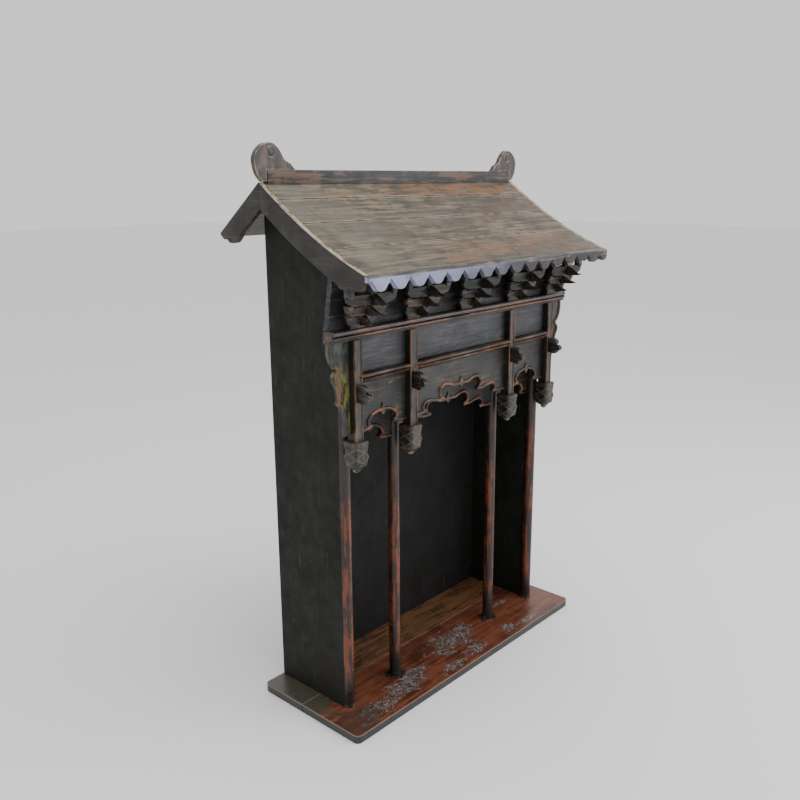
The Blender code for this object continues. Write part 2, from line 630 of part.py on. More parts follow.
# Board behind the brackets, standing on the top rail
board_low = TOP_RAIL_END - 0.004
board_high = board_low - BRACKET_BOARD_TAPER
taper_top = TOP_RAIL_TOP + BRACKET_BOARD_TAPER_HEIGHT
board_top = roof_under(BOARD_FRONT)
outline = [
    (-board_low, TOP_RAIL_TOP + GAP),
    (board_low, TOP_RAIL_TOP + GAP),
    (board_high, taper_top),
    (board_high, board_top),
    (-board_high, board_top),
    (-board_high, taper_top),
]
prism("bracket_board", outline, "Y", BOARD_FRONT, BOARD_BACK, BLUE_GREY)

# Bracket set, modelled once: a seat on the rail, then three tiers of cross arms, blocks and beaked arms
set_back = BOARD_FRONT - GAP
set_bottom = TOP_RAIL_TOP + GAP
seat_top = FIRST_TIER - set_bottom
arm_half = BRACKET_ARM_THICKNESS / 2
half_block = BRACKET_BLOCK / 2
bracket_set = box("bracket_set", (-SEAT_WIDTH / 2, SEAT_WIDTH / 2), (RAIL_FRONT + 0.001 - set_back, 0.0),
                  (0.0, seat_top), BLACK)
spine_top = seat_top + 2 * BRACKET_PITCH + BRACKET_ARM_HEIGHT
pieces = [box("spine", (-0.7 * BRACKET_BLOCK, 0.7 * BRACKET_BLOCK), (-0.006, 0.0),
              (seat_top - 0.001, spine_top), BLACK)]
for tier in range(3):
    bottom = seat_top + BRACKET_PITCH * tier
    height = BRACKET_ARM_HEIGHT + (0.004 if tier == 2 else 0.0)
    reach = BEAK_LENGTH[tier]
    top = bottom + height
    beak = [
        (0.0, bottom - 0.001),
        (0.0, top + 0.002),
        (-reach * 0.58, top + 0.002),
        (-reach * 0.74, top - 0.005),
        (-reach * 0.86, bottom + 0.007),
        (-reach, bottom + 0.004),
        (-reach * 0.80, bottom),
    ]
    pieces.append(prism("beak", beak, "X", -arm_half, arm_half, BLACK))
    half = CROSS_ARM_HALF[tier]
    y = TIER_Y[tier] - set_back
    arm = [
        (-half, top),
        (-half, top - height * 0.45),
        (-half * 0.88, bottom + height * 0.2),
        (-half * 0.68, bottom),
        (half * 0.68, bottom),
        (half * 0.88, bottom + height * 0.2),
        (half, top - height * 0.45),
        (half, top),
    ]
    pieces.append(prism("arm", arm, "Y", y - arm_half, y + arm_half, BLACK))
    rise = TOP_BLOCK_HEIGHT if tier == 2 else BRACKET_PITCH - height
    spread = half - half_block
    for offset in (-spread, 0.0, spread):
        pieces.append(box("block", (offset - half_block, offset + half_block),
                          (y - half_block, y + half_block), (top - 0.001, top + rise), BLACK))
combine(bracket_set, pieces, "UNION")
for index, x in enumerate(BRACKET_X):
    mesh = bracket_set.data.copy()
    mesh.transform(Matrix.Translation((x, set_back, set_bottom)))
    store(mesh, "bracket_set_" + str(index + 1), BLACK)
bpy.data.objects.remove(bracket_set)

# Eave purlin on the top blocks, its top planed to the roof
outline = [
    (PURLIN_BACK, BRACKET_TOP + GAP),
    (PURLIN_BACK, roof_under(PURLIN_BACK)),
    (PURLIN_FRONT, roof_under(PURLIN_FRONT)),
    (PURLIN_FRONT, BRACKET_TOP + GAP),
]
purlin_half = BARGE_INNER - GAP
prism("eave_purlin", outline, "X", -purlin_half, purlin_half, BLACK)

# Roof boards between the barge boards: four on the sagging front slope, one straight one behind
cuts = [RIDGE_Y] + [RIDGE_Y - run for run in PLANK_JOINTS] + [FASCIA_BACK + GAP]
for index in range(4):
    upper = cuts[index] - GAP / 2
    lower = cuts[index + 1] + GAP / 2
    places = stations(upper, lower, 4)
    outline = [(y, roof_top(y)) for y in places]
    outline += [(y, roof_top(y) - roof_steepness(y)) for y in reversed(places)]
    prism("roof_front_plank_" + str(index + 1), outline, "X", -purlin_half, purlin_half, ROOF_TAN)
rear_start = RIDGE_Y + GAP / 2
outline = [
    (rear_start, roof_top(rear_start)),
    (REAR_EAVE_Y - 0.004, roof_top(REAR_EAVE_Y - 0.004)),
    (REAR_EAVE_Y - 0.008, roof_top(REAR_EAVE_Y - 0.008) - roof_steepness(REAR_EAVE_Y)),
    (rear_start, roof_top(rear_start) - roof_steepness(REAR_EAVE_Y)),
]
prism("roof_rear_board", outline, "X", -purlin_half, purlin_half, ROOF_TAN)

# Barge boards, one on each slope and end, meeting in a mitre under the ridge
for name, side in (("left", -1), ("right", 1)):
    inner, outer = sorted((side * BARGE_INNER, side * ROOF_END))
    upper = RIDGE_Y - GAP / 2
    front = FASCIA_BACK + GAP
    tail = front + BARGE_TAIL
    tail_bottom = roof_top(tail) - BARGE_DEPTH - 0.004
    outline = [(y, roof_top(y)) for y in stations(upper, front, 14)]
    outline += [
        (front, roof_top(front) - 0.010),
        (front + 0.006, roof_top(front) - 0.022),
        (front + 0.008, tail_bottom + 0.001),
        (front + 0.012, tail_bottom - 0.001),
        (tail, tail_bottom + 0.001),
    ]
    outline += [(y, roof_top(y) - BARGE_DEPTH) for y in stations(tail + 0.012, upper, 8)]
    prism("barge_board_front_" + name, outline, "X", inner, outer, DARK)
    lower = RIDGE_Y + GAP / 2
    scroll = [(REAR_EAVE_Y - back * MM, roof_top(REAR_EAVE_Y - back * MM) - drop * MM)
              for back, drop in smooth(BARGE_SCROLL, 2)]
    outline = [(lower, roof_top(lower)), (lower, roof_top(lower) - BARGE_DEPTH)]
    outline += scroll + [(REAR_EAVE_Y, roof_top(REAR_EAVE_Y))]
    prism("barge_board_rear_" + name, outline, "X", inner, outer, DARK)

# Fascia on the eave, its lower edge cut in lobes between pointed notches, one lobe broken
eave_top = roof_top(EAVE_Y)
lobe_bottom = eave_top - FASCIA_DEPTH
peaks = [FASCIA_FIRST_NOTCH - ROOF_END - FASCIA_PITCH]
while peaks[-1] + FASCIA_PITCH < ROOF_END - 0.02:
    peaks.append(peaks[-1] + FASCIA_PITCH)
lower = [(-ROOF_END, lobe_bottom + FASCIA_NOTCH_DEPTH * 0.75)]
for index, peak in enumerate(peaks):
    points = [(0.13, 0.62)]
    if index > 0:
        points = [(-0.13, 0.62), (0.0, 1.0), (0.13, 0.62)]
    if index == len(peaks) - 3:
        points += BROKEN_LOBE
    elif index < len(peaks) - 1:
        points += LOBE
    lower += [(peak + FASCIA_PITCH * along, lobe_bottom + FASCIA_NOTCH_DEPTH * rise)
              for along, rise in points]
for inset, rise in ((0.012, 0.10), (0.004, 0.20), (0.0, 0.60)):
    lower.append((ROOF_END - inset, lobe_bottom + FASCIA_NOTCH_DEPTH * rise))
outline = lower + [(ROOF_END, eave_top), (-ROOF_END, eave_top)]
fascia = prism("fascia", outline, "Y", EAVE_Y, FASCIA_BACK, BLUE_GREY)
for vertex in fascia.data.vertices:
    if vertex.co.z > eave_top - 0.001 and vertex.co.y > EAVE_Y + 0.001:
        vertex.co.z = roof_top(FASCIA_BACK)

# Ridge beam, saddled over the two slopes, with a curled finial on each end
half = RIDGE_THICKNESS / 2
beam_middle = RIDGE_Y - 0.001
ridge_top = RIDGE_Z + RIDGE_HEIGHT
outline = [
    (beam_middle - half, roof_top(beam_middle - half) + GAP),
    (RIDGE_Y, RIDGE_Z + GAP),
    (beam_middle + half, roof_top(beam_middle + half) + GAP),
    (beam_middle + half, ridge_top),
    (beam_middle - half, ridge_top),
]
prism("ridge_beam", outline, "X", -RIDGE_END, RIDGE_END, BLUE_GREY)
for name, side in (("left", -1), ("right", 1)):
    curl = []
    for out, rise in smooth(RIDGE_FINIAL, 2):
        above_beam = RIDGE_HEIGHT + (rise - 22.5) * MM * RIDGE_FINIAL_HEIGHT / 0.0495
        height = rise * MM if rise <= 23 else above_beam
        curl.append((side * (RIDGE_END + out * MM), RIDGE_Z + GAP + height))
    curl[-1] = (curl[-1][0], ridge_top + GAP)
    outline = curl + [(side * (RIDGE_END + GAP), ridge_top + GAP), (side * (RIDGE_END + GAP), RIDGE_Z + GAP)]
    finial = prism("ridge_finial_" + name, outline, "Y", beam_middle - half, beam_middle + half, DARK)
    eyes = []
    for face_y in (beam_middle - half, beam_middle + half):
        shape = bmesh.new()
        place = Matrix.Translation((side * (RIDGE_END - 0.011), face_y, ridge_top + 0.0325))
        bmesh.ops.create_cone(shape, cap_ends=True, segments=16, radius1=0.007, radius2=0.007, depth=0.004,
                              matrix=place @ Matrix.Rotation(pi / 2, 4, "X"))
        mesh = bpy.data.meshes.new("eye")
        shape.to_mesh(mesh)
        shape.free()
        eyes.append(store(mesh, "eye", DARK))
    combine(finial, eyes, "DIFFERENCE")
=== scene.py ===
from math import cos, exp, hypot, pi, radians, sin
import bpy
from mathutils import Matrix, Vector, noise


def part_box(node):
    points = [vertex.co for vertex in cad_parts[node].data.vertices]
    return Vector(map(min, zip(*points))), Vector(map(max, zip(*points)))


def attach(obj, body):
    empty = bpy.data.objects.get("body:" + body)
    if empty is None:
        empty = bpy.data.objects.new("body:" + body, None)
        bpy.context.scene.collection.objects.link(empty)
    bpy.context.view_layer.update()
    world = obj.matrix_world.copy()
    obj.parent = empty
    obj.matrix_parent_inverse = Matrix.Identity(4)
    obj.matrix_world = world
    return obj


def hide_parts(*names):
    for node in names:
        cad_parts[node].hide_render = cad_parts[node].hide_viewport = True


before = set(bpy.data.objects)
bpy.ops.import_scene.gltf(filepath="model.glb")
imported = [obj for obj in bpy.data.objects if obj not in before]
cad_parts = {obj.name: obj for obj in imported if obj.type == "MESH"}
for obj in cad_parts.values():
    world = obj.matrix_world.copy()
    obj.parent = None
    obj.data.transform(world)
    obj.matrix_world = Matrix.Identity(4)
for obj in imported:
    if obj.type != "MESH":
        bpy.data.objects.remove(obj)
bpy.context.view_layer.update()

# The shrine stands on a plain pale floor in a white studio. The camera looks down a
# little on its left front corner, and large soft lights are set overhead and in front.
yaw, pitch, roll = radians(47.682), radians(14.344), radians(-0.338)
forward = Vector((sin(yaw) * cos(pitch), cos(yaw) * cos(pitch), -sin(pitch)))
level = Vector((cos(yaw), -sin(yaw), 0.0))
upright = level.cross(forward)
across = cos(roll) * level + sin(roll) * upright
upward = -sin(roll) * level + cos(roll) * upright
camera = bpy.data.objects.new("camera", bpy.data.cameras.new("camera"))
camera.data.lens = 38.55
camera.data.sensor_width = 36.0
camera.matrix_world = Matrix((
    (across.x, upward.x, -forward.x, -1.4757),
    (across.y, upward.y, -forward.y, -1.2468),
    (across.z, upward.z, -forward.z, 1.1242),
    (0.0, 0.0, 0.0, 1.0)))
bpy.context.scene.collection.objects.link(camera)
bpy.context.scene.camera = camera

bpy.ops.object.select_all(action="DESELECT")
bpy.ops.mesh.primitive_plane_add(size=40.0, location=(0.0, 0.0, -0.0005))
floor = bpy.context.object
floor.name = "studio_floor"
floor_paint = bpy.data.materials.new("studio_floor")
floor_paint.use_nodes = True
flat_white = floor_paint.node_tree.nodes["Principled BSDF"].inputs
flat_white["Base Color"].default_value = (0.90, 0.90, 0.90, 1.0)
flat_white["Roughness"].default_value = 0.9
floor.data.materials.append(floor_paint)

world = bpy.data.worlds.new("studio")
world.use_nodes = True
sky = world.node_tree.nodes["Background"].inputs
sky["Color"].default_value = (1.0, 1.0, 1.0, 1.0)
sky["Strength"].default_value = 1.0
bpy.context.scene.world = world
for name, place, aim, width, power, tint in (
        ("overhead_softbox", (0.3, -0.9, 3.0), (0.0, 0.0, 0.9), 2.2, 42.0, (1.0, 0.985, 0.96)),
        ("front_softbox", (1.7, -2.2, 1.5), (0.0, 0.0, 0.8), 1.8, 26.0, (0.90, 0.94, 1.0)),
        ("left_fill", (-2.6, 0.2, 1.6), (0.0, 0.0, 0.7), 2.0, 5.0, (1.0, 1.0, 1.0))):
    lamp = bpy.data.objects.new(name, bpy.data.lights.new(name, "AREA"))
    lamp.data.shape = "SQUARE"
    lamp.data.size = width
    lamp.data.energy = power
    lamp.data.color = tint
    lamp.location = place
    lamp.rotation_euler = (Vector(aim) - Vector(place)).to_track_quat("-Z", "Y").to_euler()
    bpy.context.scene.collection.objects.link(lamp)


# The foot is two softwood planks edge-joined along their length, lacquered red-brown. The
# lacquer is rubbed through on the front edge, crackled grey in patches, and dusty behind.
def put(tree, kind, sockets=None, **settings):
    """One step of a finish, with what goes into it."""
    made = tree.nodes.new(kind)
    for key, value in settings.items():
        setattr(made, key, value)
    for key, value in (sockets or {}).items():
        if isinstance(value, bpy.types.NodeSocket):
            tree.links.new(value, made.inputs[key])
        else:
            made.inputs[key].default_value = value
    return made


def reckon(tree, first, second, operation="MULTIPLY"):
    return put(tree, "ShaderNodeMath", {0: first, 1: second}, operation=operation).outputs[0]


def ramp(tree, factor, low, high):
    """0 below low, 1 above high, and smooth between them."""
    return put(tree, "ShaderNodeMapRange", {"Value": factor, "From Min": low, "From Max": high},
               interpolation_type="SMOOTHSTEP").outputs["Result"]


def blend(tree, factor, under, over):
    """One colour laid over another."""
    made = put(tree, "ShaderNodeMix", data_type="RGBA")
    for socket, value in ((made.inputs[0], factor), (made.inputs[6], under), (made.inputs[7], over)):
        if isinstance(value, bpy.types.NodeSocket):
            tree.links.new(value, socket)
        elif isinstance(value, tuple):
            socket.default_value = (*value, 1.0)
        else:
            socket.default_value = value
    return made.outputs[2]


def spot(tree):
    """The place of a point on the shrine."""
    return put(tree, "ShaderNodeTexCoord").outputs["Object"]


def along(tree, axis):
    """The place of a point along one axis of the shrine."""
    return put(tree, "ShaderNodeSeparateXYZ", {0: spot(tree)}).outputs[axis]


def off_line(tree, place, middle):
    """How far a place lies from the middle, on either side."""
    return reckon(tree, reckon(tree, place, middle, "SUBTRACT"), 0.0, "ABSOLUTE")


def mottled(tree, scale, detail=6.0, shift=(0.0, 0.0, 0.0), size=(1.0, 1.0, 1.0)):
    """Cloudy unevenness, drawn out where the size differs by axis: 0 to 1."""
    laid = put(tree, "ShaderNodeMapping", {"Vector": spot(tree), "Location": shift, "Scale": size})
    return put(tree, "ShaderNodeTexNoise", {"Vector": laid.outputs[0], "Scale": scale, "Detail": detail,
                                            "Roughness": 0.6, "Distortion": 0.2}).outputs["Fac"]


def grained(tree, grain, stretch=14.0, scale=9.0, detail=8.0, shift=(0.0, 0.0, 0.0)):
    """Streaks along the timber's grain: 0 to 1."""
    size = {"X": (1.0, stretch, stretch), "Y": (stretch, 1.0, stretch), "Z": (stretch, stretch, 1.0)}[grain]
    return mottled(tree, scale, detail, shift, size)


def old_timber(name, grain, deep, body, worn, wear=0.62, rough=0.5, gloss=0.5, relief=0.35, streaks=0.6):
    """Old finished timber: deep in the grain, body between, worn through where wear is passed."""
    timber = bpy.data.materials.new(name)
    timber.use_nodes = True
    tree = timber.node_tree
    shader = tree.nodes["Principled BSDF"]
    streak = grained(tree, grain)
    fibre = grained(tree, grain, 40.0, 22.0, 5.0, (0.3, 0.1, 0.7))
    tone = blend(tree, ramp(tree, mottled(tree, 14.0), 0.30, 0.66), deep, body)
    tone = blend(tree, reckon(tree, ramp(tree, streak, 0.56, 0.30), streaks), tone, deep)
    tone = blend(tree, reckon(tree, ramp(tree, fibre, 0.46, 0.34), 0.5), tone, deep)
    rubbed = reckon(tree, reckon(tree, mottled(tree, 23.0, 7.0, (3.0, 7.0, 2.0)), 0.55), streak, "ADD")
    tone = blend(tree, ramp(tree, rubbed, wear + 0.18, wear + 0.30), tone, worn)
    tree.links.new(tone, shader.inputs["Base Color"])
    sheen = put(tree, "ShaderNodeMapRange", {"Value": mottled(tree, 34.0, 5.0, (1.0, 5.0, 3.0)),
                                             "From Min": 0.3, "From Max": 0.7,
                                             "To Min": rough - 0.10, "To Max": rough + 0.14})
    tree.links.new(sheen.outputs["Result"], shader.inputs["Roughness"])
    shader.inputs["Specular IOR Level"].default_value = gloss
    grit = reckon(tree, fibre, mottled(tree, 260.0, 3.0), "ADD")
    rise = put(tree, "ShaderNodeBump", {"Height": grit, "Strength": relief, "Distance": 0.0012})
    tree.links.new(rise.outputs[0], shader.inputs["Normal"])
    return timber, tree, shader.inputs["Base Color"], tone


def patch(tree, middle, half, ragged=0.5):
    """A ragged oval patch round a point: 1 inside, 0 outside."""
    size = tuple(1.0 / h for h in half)
    moved = put(tree, "ShaderNodeMapping", {"Vector": spot(tree), "Scale": size,
                                            "Location": tuple(-m * s for m, s in zip(middle, size))})
    away = put(tree, "ShaderNodeVectorMath", {0: moved.outputs[0]}, operation="LENGTH").outputs["Value"]
    uneven = ramp(tree, mottled(tree, 38.0, 8.0), 0.30, 0.70)
    edge = reckon(tree, away, reckon(tree, uneven, ragged * 2.0), "ADD")
    return ramp(tree, edge, 1.15 + ragged, 0.80 + ragged)


foot_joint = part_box("base_board_rear")[0][1]
CRACKLED = (
    (0.022, -0.050, 0.068, 0.040), (0.075, -0.030, 0.040, 0.016), (-0.195, -0.095, 0.045, 0.026),
    (-0.150, -0.075, 0.035, 0.014), (-0.305, -0.112, 0.050, 0.022), (-0.345, -0.130, 0.030, 0.012),
    (-0.065, -0.130, 0.040, 0.015), (0.258, -0.027, 0.030, 0.010), (0.165, -0.120, 0.022, 0.018),
    (0.028, -0.118, 0.035, 0.022), (0.230, -0.130, 0.040, 0.009),
)


def on_foot(tree, x, y, half_x, half_y, ragged):
    """A ragged patch on the foot's top face."""
    return patch(tree, (x, y, 0.019), (half_x, half_y, 0.03), ragged)


def lacquer_worn_and_shade_painted(name, deep, body, worn):
    """The foot's lacquer: crackled to grey in patches, dusty in the joint, rubbed along its edge,
    darker at the left front, and with painted shade round the feet of the inner columns.
    """
    lacquer, tree, colour, tone = old_timber(name, "X", deep, body, worn, 0.54, 0.30, 0.6, 0.2, 0.3)
    cracks = put(tree, "ShaderNodeTexVoronoi", {"Vector": spot(tree), "Scale": 210.0},
                 feature="DISTANCE_TO_EDGE")
    flakes = ramp(tree, cracks.outputs["Distance"], 0.06, 0.24)
    grey = blend(tree, ramp(tree, mottled(tree, 90.0), 0.35, 0.62),
                 (0.085, 0.080, 0.076), (0.34, 0.335, 0.325))
    for place in CRACKLED:
        bare = on_foot(tree, *place, 0.55)
        tone = blend(tree, reckon(tree, bare, 0.55), tone, (0.045, 0.030, 0.025))
        tone = blend(tree, reckon(tree, bare, flakes), tone, grey)
    # Painted shade: a dark ragged patch on the foot's top round the foot of each inner column.
    for x in (-0.178, 0.178):
        tone = blend(tree, on_foot(tree, x, -0.045, 0.026, 0.022, 0.3), tone, (0.030, 0.018, 0.014))
    tone = blend(tree, on_foot(tree, -0.385, 0.080, 0.050, 0.120, 0.25), tone, (0.060, 0.055, 0.040))
    # The foot's top is darker towards its left front corner.
    left_front_darker = reckon(tree, on_foot(tree, -0.375, -0.115, 0.075, 0.050, 0.4), 0.7)
    tone = blend(tree, left_front_darker, tone, (0.045, 0.026, 0.018))
    off = off_line(tree, along(tree, "Y"), foot_joint)
    dusty_joint = reckon(tree, ramp(tree, off, 0.0020, 0.0008), ramp(tree, mottled(tree, 20.0), 0.36, 0.56))
    tone = blend(tree, dusty_joint, tone, (0.19, 0.16, 0.12))
    up = along(tree, "Z")
    tone = blend(tree, ramp(tree, up, 0.0165, 0.0145), tone, (0.011, 0.009, 0.008))
    edge = reckon(tree, ramp(tree, up, 0.0155, 0.0170), ramp(tree, up, 0.0187, 0.0178))
    tone = blend(tree, edge, tone, (0.18, 0.12, 0.08))
    tree.links.new(tone, colour)
    return lacquer


def coated(piece, *coats):
    """The piece gets its finishes, in order."""
    piece.data.materials.clear()
    for coat in coats:
        piece.data.materials.append(coat)


front_lacquer = lacquer_worn_and_shade_painted("base_front_lacquer", (0.060, 0.018, 0.010), (0.140, 0.040, 0.021),
                             (0.165, 0.056, 0.027))
rear_lacquer = lacquer_worn_and_shade_painted("base_rear_lacquer", (0.052, 0.027, 0.015), (0.118, 0.058, 0.030),
                            (0.175, 0.080, 0.036))
coated(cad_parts["base_board_front"], front_lacquer)
coated(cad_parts["base_board_rear"], rear_lacquer)

# The cabinet is two tall side boards and a back board of softwood, painted a dull black and
# standing on the foot, each side board with an old split. The lintel inside, on the columns,
# and the purlin on the brackets under the eave are plain planed lengths, painted the same.
for node, grain, deep, body in (
        ("side_panel_left", "Z", (0.007, 0.008, 0.006), (0.016, 0.017, 0.014)),
        ("side_panel_right", "Z", (0.007, 0.008, 0.006), (0.016, 0.017, 0.014)),
        ("back_panel", "Z", (0.010, 0.010, 0.009), (0.017, 0.016, 0.016)),
        ("inner_lintel", "X", (0.008, 0.008, 0.007), (0.014, 0.013, 0.013)),
        ("eave_purlin", "X", (0.010, 0.009, 0.008), (0.022, 0.019, 0.017))):
    paint, tree, colour, tone = old_timber(node + "_paint", grain, deep, body, (0.035, 0.032, 0.025),
                                           0.72, 0.60, 0.18, 0.30)
    if "side" in node:
        line = reckon(tree, along(tree, "Y"), reckon(tree, mottled(tree, 3.0), 0.010), "ADD")
        split = ramp(tree, off_line(tree, line, 0.020), 0.0011, 0.0004)
        tone = blend(tree, split, tone, (0.006, 0.006, 0.006))
        low_dirt = reckon(tree, ramp(tree, along(tree, "Z"), 0.30, 0.02),
                          ramp(tree, mottled(tree, 16.0), 0.45, 0.65))
        tone = blend(tree, low_dirt, tone, (0.014, 0.011, 0.008))
        tree.links.new(tone, colour)
    coated(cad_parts[node], paint)

# The four round uprights are turned softwood with red-brown lacquer. The two at the corners
# take the side boards' front edges. Hands have worn them orange low down and polished them.
column_paint, tree, colour, tone = old_timber("column_lacquer", "Z", (0.015, 0.008, 0.006),
                                              (0.034, 0.011, 0.006), (0.140, 0.036, 0.012),
                                              0.575, 0.30, 0.45, 0.22, 0.5)
height = along(tree, "Z")
tone = blend(tree, ramp(tree, height, 0.42, 0.62), tone, (0.022, 0.018, 0.017))
tone = blend(tree, ramp(tree, height, 0.12, 0.05), tone, (0.014, 0.009, 0.008))
dusty_ring = reckon(tree, ramp(tree, height, 0.031, 0.022), ramp(tree, mottled(tree, 70.0), 0.4, 0.6))
tone = blend(tree, dusty_ring, tone, (0.085, 0.078, 0.070))
tree.links.new(tone, colour)


def placed(piece, node):
    """The finished piece takes the place of its plain solid."""
    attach(piece, "root")
    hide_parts(node)


def pick(piece):
    """Only this piece in hand."""
    bpy.ops.object.select_all(action="DESELECT")
    piece.select_set(True)
    bpy.context.view_layer.objects.active = piece


def ringed(start, run, rings):
    """Level rings cut round the piece in hand, to shape it by."""
    bpy.ops.object.mode_set(mode="EDIT")
    for ring in range(1, rings):
        bpy.ops.mesh.select_all(action="SELECT")
        bpy.ops.mesh.bisect(plane_co=(0.0, 0.0, start + run * ring / rings), plane_no=(0.0, 0.0, 1.0))
    bpy.ops.object.mode_set(mode="OBJECT")


CORNER_X = 0.337
for node, foot, neck in (("column_left", 0.0132, 0.0120), ("column_right", 0.0132, 0.0120),
                         ("corner_post_left", 0.0130, 0.0130), ("corner_post_right", 0.0130, 0.0130)):
    low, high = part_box(node)
    side = -1.0 if "left" in node else 1.0
    middle = side * CORNER_X if "corner" in node else (low[0] + high[0]) / 2
    front = low[1] + foot
    bpy.ops.object.select_all(action="DESELECT")
    bpy.ops.mesh.primitive_cylinder_add(vertices=48, radius=foot, depth=high[2] - low[2],
                                        location=(middle, front, (low[2] + high[2]) / 2))
    turned = bpy.context.object
    turned.name = node + "_turned"
    bpy.ops.object.transform_apply(location=True, rotation=True, scale=True)
    ringed(low[2], high[2] - low[2], 24)
    for vertex in turned.data.vertices:
        share = (vertex.co.z - low[2]) / (high[2] - low[2])
        slim = 1.0 + (neck / foot - 1.0) * share
        slim *= 1.0 - 0.012 * (1.0 + noise.noise(Vector((middle * 9, share * 7, vertex.co.x * 30))))
        vertex.co.x = middle + (vertex.co.x - middle) * slim
        vertex.co.y = front + (vertex.co.y - front) * slim
    if "corner" in node:
        bpy.ops.object.select_all(action="DESELECT")
        bpy.ops.mesh.primitive_cube_add(size=1.0, location=(side * 0.3483, -0.0352, 0.6),
                                        scale=(0.0306, 0.040, 1.6))
        groove = bpy.context.object
        cut = turned.modifiers.new("groove", "BOOLEAN")
        cut.operation = "DIFFERENCE"
        cut.object = groove
        pick(turned)
        bpy.ops.object.modifier_apply(modifier=cut.name)
        bpy.data.objects.remove(groove)
    pick(turned)
    bpy.ops.object.shade_smooth_by_angle(angle=radians(35))
    turned.data.materials.append(column_paint)
    placed(turned, node)


# The rails are long mouldings planed from one strip each: a round bar over a groove and a
# thin bead. The bar keeps its dark lacquer, and the bead is rubbed to orange-brown wood.
def marked(name, points, closed, **settings):
    """The piece that a line through the points gives: a flat face, or a rod along it."""
    line = bpy.data.curves.new(name, "CURVE")
    for key, value in settings.items():
        setattr(line, key, value)
    spline = line.splines.new("POLY")
    spline.points.add(len(points) - 1)
    for point, place in zip(spline.points, points):
        point.co = (*place, 1.0)
    spline.use_cyclic_u = closed
    piece = bpy.data.objects.new(name, line)
    bpy.context.scene.collection.objects.link(piece)
    pick(piece)
    bpy.ops.object.convert(target="MESH")
    return bpy.context.object


def sawn(name, outline, axis, low, high, material, worn=None, ease=0.0, steps=2):
    """A board sawn to an outline, from low to high along one axis, its arrises eased and rubbed."""
    board = marked(name, [(first, second, 0.0) for first, second in outline], True,
                   dimensions="2D", fill_mode="FRONT")
    laid = {"X": ((0, 0, 1, low), (1, 0, 0, 0), (0, 1, 0, 0)),
            "Y": ((1, 0, 0, 0), (0, 0, -1, low), (0, 1, 0, 0)),
            "Z": ((1, 0, 0, 0), (0, 1, 0, 0), (0, 0, 1, low))}[axis]
    board.matrix_world = Matrix((*laid, (0, 0, 0, 1)))
    thick = tuple(high - low if axis == letter else 0.0 for letter in "XYZ")
    bpy.ops.object.transform_apply(location=True, rotation=True, scale=True)
    bpy.ops.object.mode_set(mode="EDIT")
    bpy.ops.mesh.select_all(action="SELECT")
    bpy.ops.mesh.remove_doubles(threshold=0.00002)
    bpy.ops.mesh.dissolve_limited(angle_limit=radians(0.2))
    bpy.ops.mesh.select_all(action="SELECT")
    bpy.ops.mesh.extrude_region_move(TRANSFORM_OT_translate={"value": thick})
    bpy.ops.mesh.select_all(action="SELECT")
    bpy.ops.mesh.normals_make_consistent(inside=False)
    bpy.ops.object.mode_set(mode="OBJECT")
    board.data.materials.append(material)
    board.data.materials.append(worn or material)
    if ease:
        eased = board.modifiers.new("eased", "BEVEL")
        eased.width = ease
        eased.segments = steps
        eased.limit_method = "ANGLE"
        eased.angle_limit = radians(50)
        eased.use_clamp_overlap = False
        eased.material = 1
        bpy.ops.object.modifier_apply(modifier=eased.name)
    bpy.ops.object.shade_smooth_by_angle(angle=radians(32))
    return board


def joined(name, pieces):
    """Pieces glued together as one."""
    bpy.ops.object.select_all(action="DESELECT")
    for piece in pieces:
        piece.select_set(True)
    bpy.context.view_layer.objects.active = pieces[0]
    bpy.ops.object.join()
    pieces[0].name = name
    return pieces[0]


bar_lacquer = old_timber("rail_lacquer", "X", (0.018, 0.014, 0.014), (0.040, 0.030, 0.030),
                         (0.13, 0.052, 0.028), 0.58, 0.33, 0.7, 0.04)[0]
rail_shadow = old_timber("rail_recess", "X", (0.016, 0.012, 0.010), (0.040, 0.028, 0.022),
                         (0.09, 0.05, 0.03), 0.66, 0.45, 0.4, 0.2)[0]
rubbed_bead = old_timber("rubbed_bead", "X", (0.028, 0.012, 0.008), (0.105, 0.034, 0.015),
                         (0.21, 0.10, 0.055), 0.56, 0.36, 0.5, 0.25, 0.4)[0]
rail_low, rail_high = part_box("top_rail")
rail_front, rail_back = rail_low[1], rail_high[1]


def rail_moulding(bottom, tall, proud):
    """The rail's section, from its back round the front: (y, z)."""
    front = rail_front - proud
    points = [(rail_back, bottom), (front + 0.0085, bottom), (front + 0.0085, bottom + 0.24 * tall)]
    for step in range(9):
        turn = -pi / 2 + pi * step / 8
        points.append((front + 0.0045 - 0.0030 * cos(turn), bottom + tall * (0.37 + 0.11 * sin(turn))))
    points.append((front + 0.0065, bottom + 0.50 * tall))
    for step in range(13):
        turn = -pi / 2 + pi * step / 12
        points.append((front + 0.0055 - 0.0055 * cos(turn), bottom + tall * (0.765 + 0.235 * sin(turn))))
    points.append((rail_back, bottom + tall))
    return points


def finish_rail(rail, bottom, tall):
    """Dark bar above, rubbed bead below, and shadow in the recess."""
    coated(rail, bar_lacquer, rubbed_bead, rail_shadow)
    for face in rail.data.polygons:
        share = (face.center.z - bottom) / tall
        if face.center.y > rail_front + 0.0078 or share < 0.25:
            face.material_index = 2
        elif share < 0.49:
            face.material_index = 1
        else:
            face.material_index = 0


